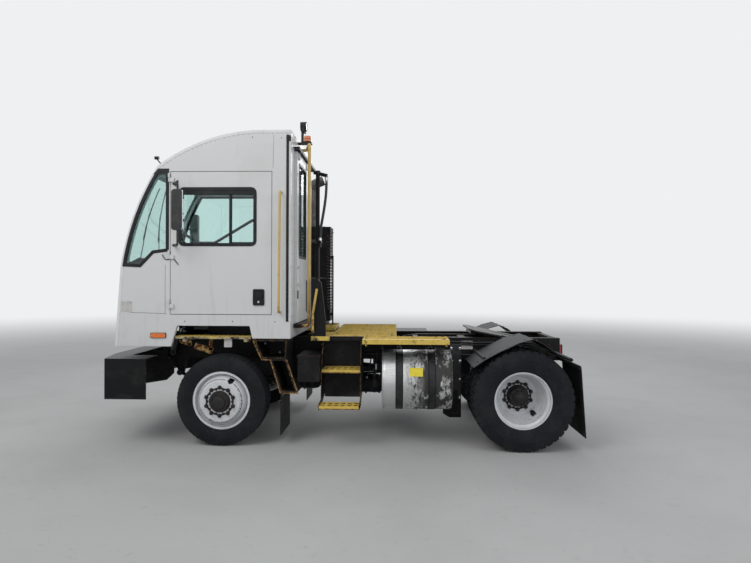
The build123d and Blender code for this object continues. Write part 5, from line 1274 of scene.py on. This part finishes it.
@piece("chassis", "pipe_blue", 0)
def blue_line(bm):
    add_run(bm, ((-1.632, 0.5, 0.985), (-1.634, 0.52, 0.93), (-1.622, 0.53, 0.8), (-1.618, 0.53, 0.66),
                 (-1.63, 0.52, 0.56), (-1.64, 0.5, 0.5)), 0.009, beads=True)
    add_run(bm, ((-1.64, 0.5, 0.5), (-1.6, 0.47, 0.44), (-1.54, 0.43, 0.46)), 0.009, beads=True)


@piece("chassis", "flap_rubber")
def guard_flap(bm):
    outline = [(-2.5, 0.4), (-2.5, 0.203), (-2.369, 0.201), (-2.3, 0.245), (-2.3, 0.33), (-2.38, 0.345),
               (-2.38, 0.4)]
    add_prism(bm, outline, "xz", *GUARD_FLAP)


@piece("chassis", "frame_black", 0.0006)
def guard_pocket(bm):
    add_band(bm, panel(-2.47, -2.404, 0.252, 0.346, 0.004, 2), "xz", 0.003, 0.004, GUARD_FLAP[1], 0.6135)
    add_box(bm, -2.468, -2.406, 0.592, 0.598, 0.395, 0.505)


# Behind the cab: exhaust box and pipe, mast and its lines
PIPE_X, PIPE_Y = -0.636, -0.773
MAST_X = -0.83
HOSE_ROW = (-HOSE_Y, HOSE_Y)


@piece("chassis", "plate_steel", 0.0006)
def exhaust_clamps(bm):
    for z in (2.575, 2.93):
        add_prism(bm, circle(PIPE_X, PIPE_Y, 0.0675, 36), "xy", z - 0.01, z + 0.01)
        add_box(bm, -0.588, -0.548, -0.79, -0.756, z - 0.01, z + 0.01)
        add_bolts(bm, [(-0.568, -0.756, z)], OUTWARD, 0.006, 0.01)
    add_bolts(bm, product((-0.9145,), (-0.93, -0.616), (1.18, 1.6, 2.02, 2.36)), BACK, 0.009, 0.008)
    add_bolts(bm, product((-0.83, -0.56), (-0.9, -0.64), (2.41,)), UP, 0.009, 0.01)


@piece("chassis", "exhaust_steel", 0.0006)
def exhaust_box_trim(bm):
    for z0, z1 in ((1.105, 1.118), (2.398, 2.4115)):
        add_box(bm, -0.9165, -0.9135, -0.946, -0.6, z0, z1)
    for y in (-0.9475, -0.6005):
        add_box(bm, -0.868, -0.52, y, y + 0.002, 1.72, 1.74)
    for z in (1.3, 2.22):
        add_box(bm, -0.753, -0.633, PIPE_Y + 0.1725, PIPE_Y + 0.1755, z - 0.02, z + 0.02)


@piece("chassis", "plate_steel")
def mast_hardware(bm):
    for z in (2.1625, 3.011):
        add_peg(bm, (MAST_X, 0, z - 0.018), (0, 0, 0.036), 0.031, sides=24)
    add_bolts(bm, product((RAIL_X,), (-0.052, 0.052), (2.175,)), UP, 0.008, 0.009)
    for y in HOSE_ROW:
        add_tube(bm, (RAIL_X, y, 2.146), (RAIL_X, y, 2.152), 0.016, sides=6)
        add_box(bm, RAIL_X - 0.009, RAIL_X + 0.009, y - 0.01, y + 0.01, 2.118, 2.146)
        add_tube(bm, (RAIL_X, y, 2.1), (RAIL_X, y, 2.12), 0.013, sides=24)


@piece("chassis", "rod_chrome", 0)
def hose_springs(bm):
    for y in HOSE_ROW:
        turn = circle(TOP_X, y, 0.0165, 8)
        add_run(bm, [(*turn[step % 8], 2.945 - 0.0016 * step) for step in range(49)], 0.0018, 6)


@piece("chassis", "hose_rubber", 0)
def mast_lines(bm):
    for y in (0.023, -0.023):
        add_tube(bm, (-0.846, y, 1.12), (-0.846, y, 2.115), 0.008, sides=12)
        for z in (1.35, 1.62, 1.9):
            add_peg(bm, (-0.846, y, z - 0.006), (0, 0, 0.012), 0.0105, sides=12)


# Lamps
WORK_LAMP_Y, WORK_LAMP_Z = 0.62, 3.395
WORK_LAMP_TOP = 3.4446
WORK_LAMP_RING = [(y, min(z, WORK_LAMP_TOP)) for y, z in circle(WORK_LAMP_Y, WORK_LAMP_Z, 0.0525, 36)]
HEADLAMP_RADIUS = 0.093


@piece("cab", "plastic_black", 0.0006)
def beacon_rings(bm):
    for z, radius in ((3.2265, 0.0415), (3.256, 0.0392), (3.284, 0.0375)):
        add_prism(bm, circle(*BEACON, radius, 36), "xy", z - 0.0022, z + 0.0022)
    add_bolts(bm, put(circle(*BEACON, 0.04, 3, 0.6 / math.pi), "xy", 3.226), UP, 0.003, 0.005)


@piece("cab", "plastic_black", 0.0005)
def work_lamp_fins(bm):
    for step in range(5):
        x = -0.728 - step * 0.013
        add_prism(bm, WORK_LAMP_RING, "yz", x - 0.0022, x + 0.0022)
    for side in (-1, 1):
        y = WORK_LAMP_Y + side * 0.0515
        add_box(bm, -0.775, -0.745, y - 0.003, y + 0.003, 3.335, 3.4)
        add_bolts(bm, [(-0.76, y + side * 0.003, 3.392)], (0, side, 0), 0.007, 0.007)
    add_box(bm, -0.778, -0.742, WORK_LAMP_Y - 0.0545, WORK_LAMP_Y + 0.0545, 3.33, 3.336)
    add_band(bm, WORK_LAMP_RING, "yz", 0.0, 0.008, -0.7925, -0.784)


@piece("cab", "plastic_black", 0.0006)
def marker_bezel(bm):
    add_band(bm, panel(0.597, 0.755, 1.1, 1.146, 0.01, 4), "xz", 0.004, 0.004, LEFT_FACE, LEFT_FACE + 0.0095)
    add_bolts(bm, [(x, LEFT_FACE + 0.0095, 1.123) for x in (0.606, 0.746)], OUTWARD, 0.004, 0.003)


@piece("chassis", "strap_steel", 0.0008)
def headlamp_bezels(bm):
    for sign in (LEFT, RIGHT):
        ring = circle(sign * 0.64, 0.7, HEADLAMP_RADIUS, 48)
        add_band(bm, ring, "yz", 0.002, HEADLAMP_RADIUS - 0.08, 1.2435, 1.2535)


@piece("chassis", "plastic_black", 0.0008)
def rear_lamp_bezels(bm):
    for sign in (LEFT, RIGHT):
        y0, y1 = sorted((sign * 0.29, sign * 0.39))
        add_band(bm, panel(y0, y1, 0.88, 0.98, 0.012, 4), "yz", 0.003, 0.005, -3.661, -3.65)
        add_box(bm, -3.661, -3.655, y0 + 0.004, y1 - 0.004, 0.928, 0.932)


# Bumper, hood and grille
BUMPER_FACE = 1.25
GRILLE = (-0.985, -0.425, 1.095, 1.465)
GRILLE_FACE = 1.0095
HOOD_FACE = -1.06


@piece("chassis", "strap_steel", 0)
def bumper_bolts(bm):
    places = product((BUMPER_FACE - 0.001,), (0.3, 0.48, 0.86, 1.02), (0.6, 0.84))
    add_domes(bm, [(x, sign * y, z) for x, y, z in places for sign in (LEFT, RIGHT)], AHEAD, 0.012, 0.0045)


@piece("chassis", "label_white", 0.0006)
def number_plate(bm):
    add_prism(bm, panel(-0.15, 0.15, 0.64, 0.77, 0.008, 3), "yz", BUMPER_FACE, BUMPER_FACE + 0.003)


@piece("chassis", "plastic_black", 0)
def grille_mesh(bm):
    y0, y1, z0, z1 = GRILLE
    for z in spread(z0, z1, 13):
        add_box(bm, GRILLE_FACE, GRILLE_FACE + 0.004, y0, y1, z - 0.0035, z + 0.0035)
    for y in spread(y0, y1, 19):
        add_box(bm, GRILLE_FACE, GRILLE_FACE + 0.0025, y - 0.003, y + 0.003, z0, z1)
    add_band(bm, panel(*GRILLE, 0.02, 4), "yz", 0.006, 0.01, GRILLE_FACE, GRILLE_FACE + 0.005)


@piece("chassis", "plate_steel", 0.0008)
def hood_latches(bm):
    for x in (-0.1, 0.62):
        add_prism(bm, panel(x - 0.022, x + 0.022, 1.535, 1.6, 0.006, 3), "xz", HOOD_FACE - 0.006, HOOD_FACE)
        add_box(bm, x - 0.009, x + 0.009, HOOD_FACE - 0.014, HOOD_FACE - 0.006, 1.545, 1.6)


# Cab shell: seams, a blank label, mirror parts, aerial lead and the rear door's fittings
SEAMS = (((0.973, 1.359), (0.595, 1.348), 0.0016), ((0.606, 1.347), (0.606, 1.854), 0.0016),
         ((-0.522, 3.191), (-0.514, 2.85), 0.0012))
# The mirror's lead parts at the door's hinge line, its fourth point.
LEAD = ((0.635, 1.958), (0.615, 1.922), (0.595, 1.905), (0.56, 1.914), (0.531, 1.934), (0.5, 1.896), (0.467, 1.854))


@piece("cab", "strap_steel", 0)
def cab_seams(bm):
    for start, stop, half in SEAMS:
        start, stop = Vector(start), Vector(stop)
        off = (stop - start).normalized().orthogonal() * half
        add_prism(bm, [start + off, stop + off, stop - off, start - off], "xz", LEFT_FACE, LEFT_FACE + 0.0006)


@piece("cab", "label_white", 0)
def cab_label(bm):
    add_prism(bm, panel(0.952, 1.067, 1.363, 1.474, 0.006, 3), "xz", LEFT_FACE, LEFT_FACE + 0.0007)


@piece("cab", "strap_steel", 0)
def cab_bolts(bm):
    add_domes(bm, product((-0.6655,), (LEFT_FACE + 0.004,), (1.3, 1.98, 2.64, 3.06)), OUTWARD, 0.006, 0.004, 10)
    places = ((-0.54, 1.27), (-0.1, 1.27), (0.4, 1.27), (-0.6, 3.16), (-0.3, 3.17))
    add_domes(bm, put(places, "xz", LEFT_FACE), OUTWARD, 0.006, 0.003, 10)


for lead_name, body, part in (("mirror_lead", "cab", LEAD[:4]), ("mirror_lead_end", "cab_door", LEAD[3:])):
    @piece(body, "hose_rubber", 0, lead_name)
    def lead(bm):
        add_run(bm, put(part, "xz", LEFT_FACE + 0.006), 0.0045, 8)


@piece("cab_door", "strap_steel", 0)
def mirror_bolts(bm):
    add_bolts(bm, product((0.505, 0.485), (LEFT_FACE,), (2.053, 2.683)), OUTWARD, 0.005, 0.006)


@piece("rear_door", "plastic_black", 0.0008)
def rear_door_fittings(bm):
    add_domes(bm, product((REAR_DOOR_FACE,), (0.81,), (1.655, 1.825)), BACK, 0.01, 0.004, 10)
    add_domes(bm, product((REAR_DOOR_FACE,), (0.22, 0.77), (3.03, 2.99)), BACK, 0.007, 0.004, 10)
    for outline, height in ((panel(0.775, 0.835, 1.5, 1.59, 0.008, 3), 0.004),
                            (panel(0.18, 0.255, 1.33, 1.7, 0.01, 3), 0.002)):
        add_prism(bm, outline, "yz", REAR_DOOR_FACE - height, REAR_DOOR_FACE + 0.0005)


@piece("cab", "strap_steel", 0)
def rear_wall_rivets(bm):
    places = product((REAR_WALL_FACE,), (0.12, 0.87, 1.0, 0.05, -0.25), [1.32 + step * 0.13 for step in range(14)])
    add_domes(bm, places, BACK, 0.0045, 0.0025, 8)


# Cab inside: frame bars of the far wall and gauges
BAR_Y = -0.28
GAUGE_X = 0.772
GAUGE_Z = 1.835


@piece("cab", "plastic_black", 0.0006)
def cab_inner_bars(bm):
    line = ((0.95, 2.306), (0.741, 2.172), (0.524, 2.172), (0.041, 2.459), (-0.3, 2.459))
    add_run(bm, put(line, "xz", BAR_Y), 0.018, 16)
    add_domes(bm, put(line[1:], "xz", BAR_Y), OUTWARD, 0.018, 0.01, 16)
    for x, z in (*line[:3], line[-1]):
        add_tube(bm, (x, -0.316, z), (x, BAR_Y, z), 0.012, sides=12)


@piece("cab", "strap_steel", 0.0005)
def dash_gauges(bm):
    for y in (0.46, 0.58, 0.7, 0.82):
        add_band(bm, circle(y, GAUGE_Z, 0.04, 32), "yz", 0.003, 0.005, GAUGE_X - 0.016, GAUGE_X)
    for step in range(6):
        y = 0.44 + step * 0.066
        add_box(bm, GAUGE_X - 0.022, GAUGE_X, y, y + 0.035, GAUGE_Z - 0.105, GAUGE_Z - 0.075)


# Driver's seat: a cushion and a back, filled with Cloth pressure, then sewn. A pad has its spans in X, Y and Z.
SEAT_VOXEL = 0.01
SEAT_CAP = 0.024
SEAT_MIDDLE = 0.67
SEAT_PADS = {
    "seat_cushion": ((-0.368, 0.108), (0.432, 0.908), (1.655, 1.748)),
    "seat_back": ((-0.468, -0.378), (0.444, 0.896), (1.735, 2.432)),
}
FILL_FRAMES = 20


def taper(height, span):
    share = (height - span[0]) / (span[1] - span[0])
    return 0.34 * max(0.0, share - 0.62) ** 0.8


def add_pad_block(bm, x, y, z, lies):
    """A block with rounded corners. One that lies is as thick as its span in Z, the other as its span in X."""
    plan = panel(*y, *(x if lies else z), 0.07, 12)
    low, high = z if lies else x
    rings = []
    for share in (0.0, 0.15, 0.5, 0.85, 1.0):
        line = grown(plan, -0.022 * (2 * share - 1) ** 4)
        depth = low + (high - low) * share
        if lies:
            rings.append([(v, u, depth) for u, v in line])
        else:
            rings.append([(depth, u - (u - SEAT_MIDDLE) * taper(v, z), v) for u, v in line])
    loft(bm, rings)


def fill_pad(item, flat):
    """Blow the pad up with Cloth pressure, holding the points for which flat is true."""
    start = [vertex.co.copy() for vertex in item.data.vertices]
    held = item.vertex_groups.new(name="held")
    held.add([index for index, place in enumerate(start) if flat(place - AXLE)], 1.0, "REPLACE")
    cloth = item.modifiers.new("filling", "CLOTH")
    cloth.settings.use_pressure = True
    cloth.settings.uniform_pressure_force = 4
    cloth.settings.vertex_group_mass = "held"
    cloth.settings.effector_weights.gravity = 0
    cloth.point_cache.frame_start = 1
    cloth.point_cache.frame_end = FILL_FRAMES
    for number in range(1, FILL_FRAMES + 1):
        SCENE.frame_set(number)
    graph = bpy.context.evaluated_depsgraph_get()
    ended = [vertex.co.copy() for vertex in item.evaluated_get(graph).data.vertices]
    item.modifiers.remove(cloth)
    item.vertex_groups.clear()
    SCENE.frame_set(1)
    for vertex, before, after in zip(item.data.vertices, start, ended):
        move = after - before
        vertex.co = before + move * min(1.0, SEAT_CAP / max(move.length, 1e-9))


def seam(distance, width):
    return math.exp(-(distance / width) ** 2)


def sew(place, lies):
    """How far a sewn channel or the border seam pulls a point in."""
    across = abs(place.y - SEAT_MIDDLE)
    if lies:
        pull = 1.3 * seam(across - 0.15, 0.008)
        if across < 0.145:
            pull += sum(seam(place.x - line, 0.007) for line in (-0.26, -0.17, -0.08, 0.01))
        return pull * 0.008 if place.z > 1.7 else 0.0
    pull = 1.3 * seam(across - 0.13, 0.008) * (place.z < 2.2) + 1.3 * seam(place.z - 2.2, 0.009)
    if across < 0.125:
        pull += sum(seam(place.z - line, 0.007) for line in (1.86, 1.95, 2.04, 2.13))
    return pull * 0.008 if place.x > -0.42 else 0.0


def remade(item, kind, **settings):
    """Give the object the mesh that a modifier makes of it."""
    change = item.modifiers.new(kind.lower(), kind)
    for setting, value in settings.items():
        setattr(change, setting, value)
    made = evaluated(item)
    item.modifiers.remove(change)
    item.data = made


for pad, (x, y, z) in SEAT_PADS.items():
    lies = pad == "seat_cushion"
    item = link(pad, drawn(pad, lambda bm: add_pad_block(bm, x, y, z, lies)))
    remade(item, "REMESH", mode="VOXEL", voxel_size=SEAT_VOXEL, use_smooth_shade=True)
    fill_pad(item, lambda place: place.z < z[0] + 0.012 if lies else place.x < x[0] + 0.012)
    remade(item, "SUBSURF", levels=1, render_levels=1)
    normals = [vertex.normal.copy() for vertex in item.data.vertices]
    for vertex, way in zip(item.data.vertices, normals):
        vertex.co -= way * sew(vertex.co - AXLE, lies)
    cover(item.data, "seat_fabric")
    enter(item, "cab", "driver_seat")


@piece("cab", "plastic_black")
def seat_shell(bm):
    add_prism(bm, panel(0.452, 0.888, 1.75, 2.3, 0.06), "yz", -0.4795, -0.462)
    add_prism(bm, panel(0.5, 0.84, 1.65, 1.657, 0.003, 2), "yz", -0.35, 0.09)
    for y in (0.45, 0.868):
        add_prism(bm, panel(-0.42, -0.3, 1.64, 1.8, 0.03, 4), "xz", y, y + 0.022)


# Floor, light and backdrop. The floor fades into the backdrop's colour away from the machine.
BACKDROP = (0.86, 0.87, 0.885)
FADE_START = 7.0
FADE_STOP = 26.0
FLOOR_RADIUS = 60
WORLD_LIGHT = 0.5
LAMPS = (
    # name, place, aimed at, width, power, colour
    ("key", (3.5, 7.0, 8.0), (-1.0, 0.8, 1.4), 6.0, 330, (1.0, 0.985, 0.96)),
    ("fill", (-7.0, 6.0, 4.0), (-1.5, 0.0, 1.2), 5.0, 90, (0.95, 0.97, 1.0)),
    ("back", (-2.0, -7.0, 6.5), (-1.0, 0.0, 1.2), 6.0, 220, (1.0, 1.0, 1.0)),
)


def build_floor_finish():
    tree = finish("floor", (0.5, 0.5, 0.495), 0.85, bump=None, layers=(
        Layer((0.455, 0.455, 0.45), 0.9, 0.9, 0.42, 0.75), Layer((0.4, 0.4, 0.395), 0.9, 14, 0.6, 0.8))).node_tree
    length = node(tree, "ShaderNodeVectorMath", Vector=object_place(tree))
    length.operation = "LENGTH"
    share = ramp(tree, length.outputs["Value"], FADE_START, FADE_STOP)
    share.interpolation_type = "SMOOTHSTEP"
    glow = node(tree, "ShaderNodeEmission", Color=(*BACKDROP, 1), Strength=1.0)
    mix_shaders(tree, share.outputs["Result"], tree.nodes["Principled BSDF"], glow, "Material Output")


build_floor_finish()
floor_mesh = bpy.data.meshes.new("floor")
bm = bmesh.new()
bmesh.ops.create_circle(bm, cap_ends=True, segments=96, radius=FLOOR_RADIUS)
bm.to_mesh(floor_mesh)
bm.free()
floor_mesh.materials.append(FINISHES["floor"])
floor = link("floor", floor_mesh)

world = bpy.data.worlds.new("studio")
SCENE.world = world
world.use_nodes = True
tree = world.node_tree
light = tree.nodes["Background"]
light.inputs["Color"].default_value = (0.93, 0.965, 1.0, 1)
light.inputs["Strength"].default_value = WORLD_LIGHT
seen = node(tree, "ShaderNodeBackground", Color=(*BACKDROP, 1), Strength=1.0)
path = node(tree, "ShaderNodeLightPath")
total = path.outputs["Is Camera Ray"]
for other in ("Is Glossy Ray", "Is Transmission Ray"):
    total = combine(tree, "MAXIMUM", total, path.outputs[other])
mix_shaders(tree, total, light, seen, "World Output")

for lamp_name, place, aim, width, power, colour in LAMPS:
    data = bpy.data.lights.new(lamp_name, "AREA")
    data.shape = "DISK"
    data.size = width
    data.energy = power
    data.color = colour
    lamp = link(lamp_name, data)
    lamp.location = Vector(place) + AXLE
    lamp.rotation_euler = (Vector(aim) - Vector(place)).to_track_quat("-Z", "Y").to_euler()

SCENE.view_settings.view_transform = "Standard"
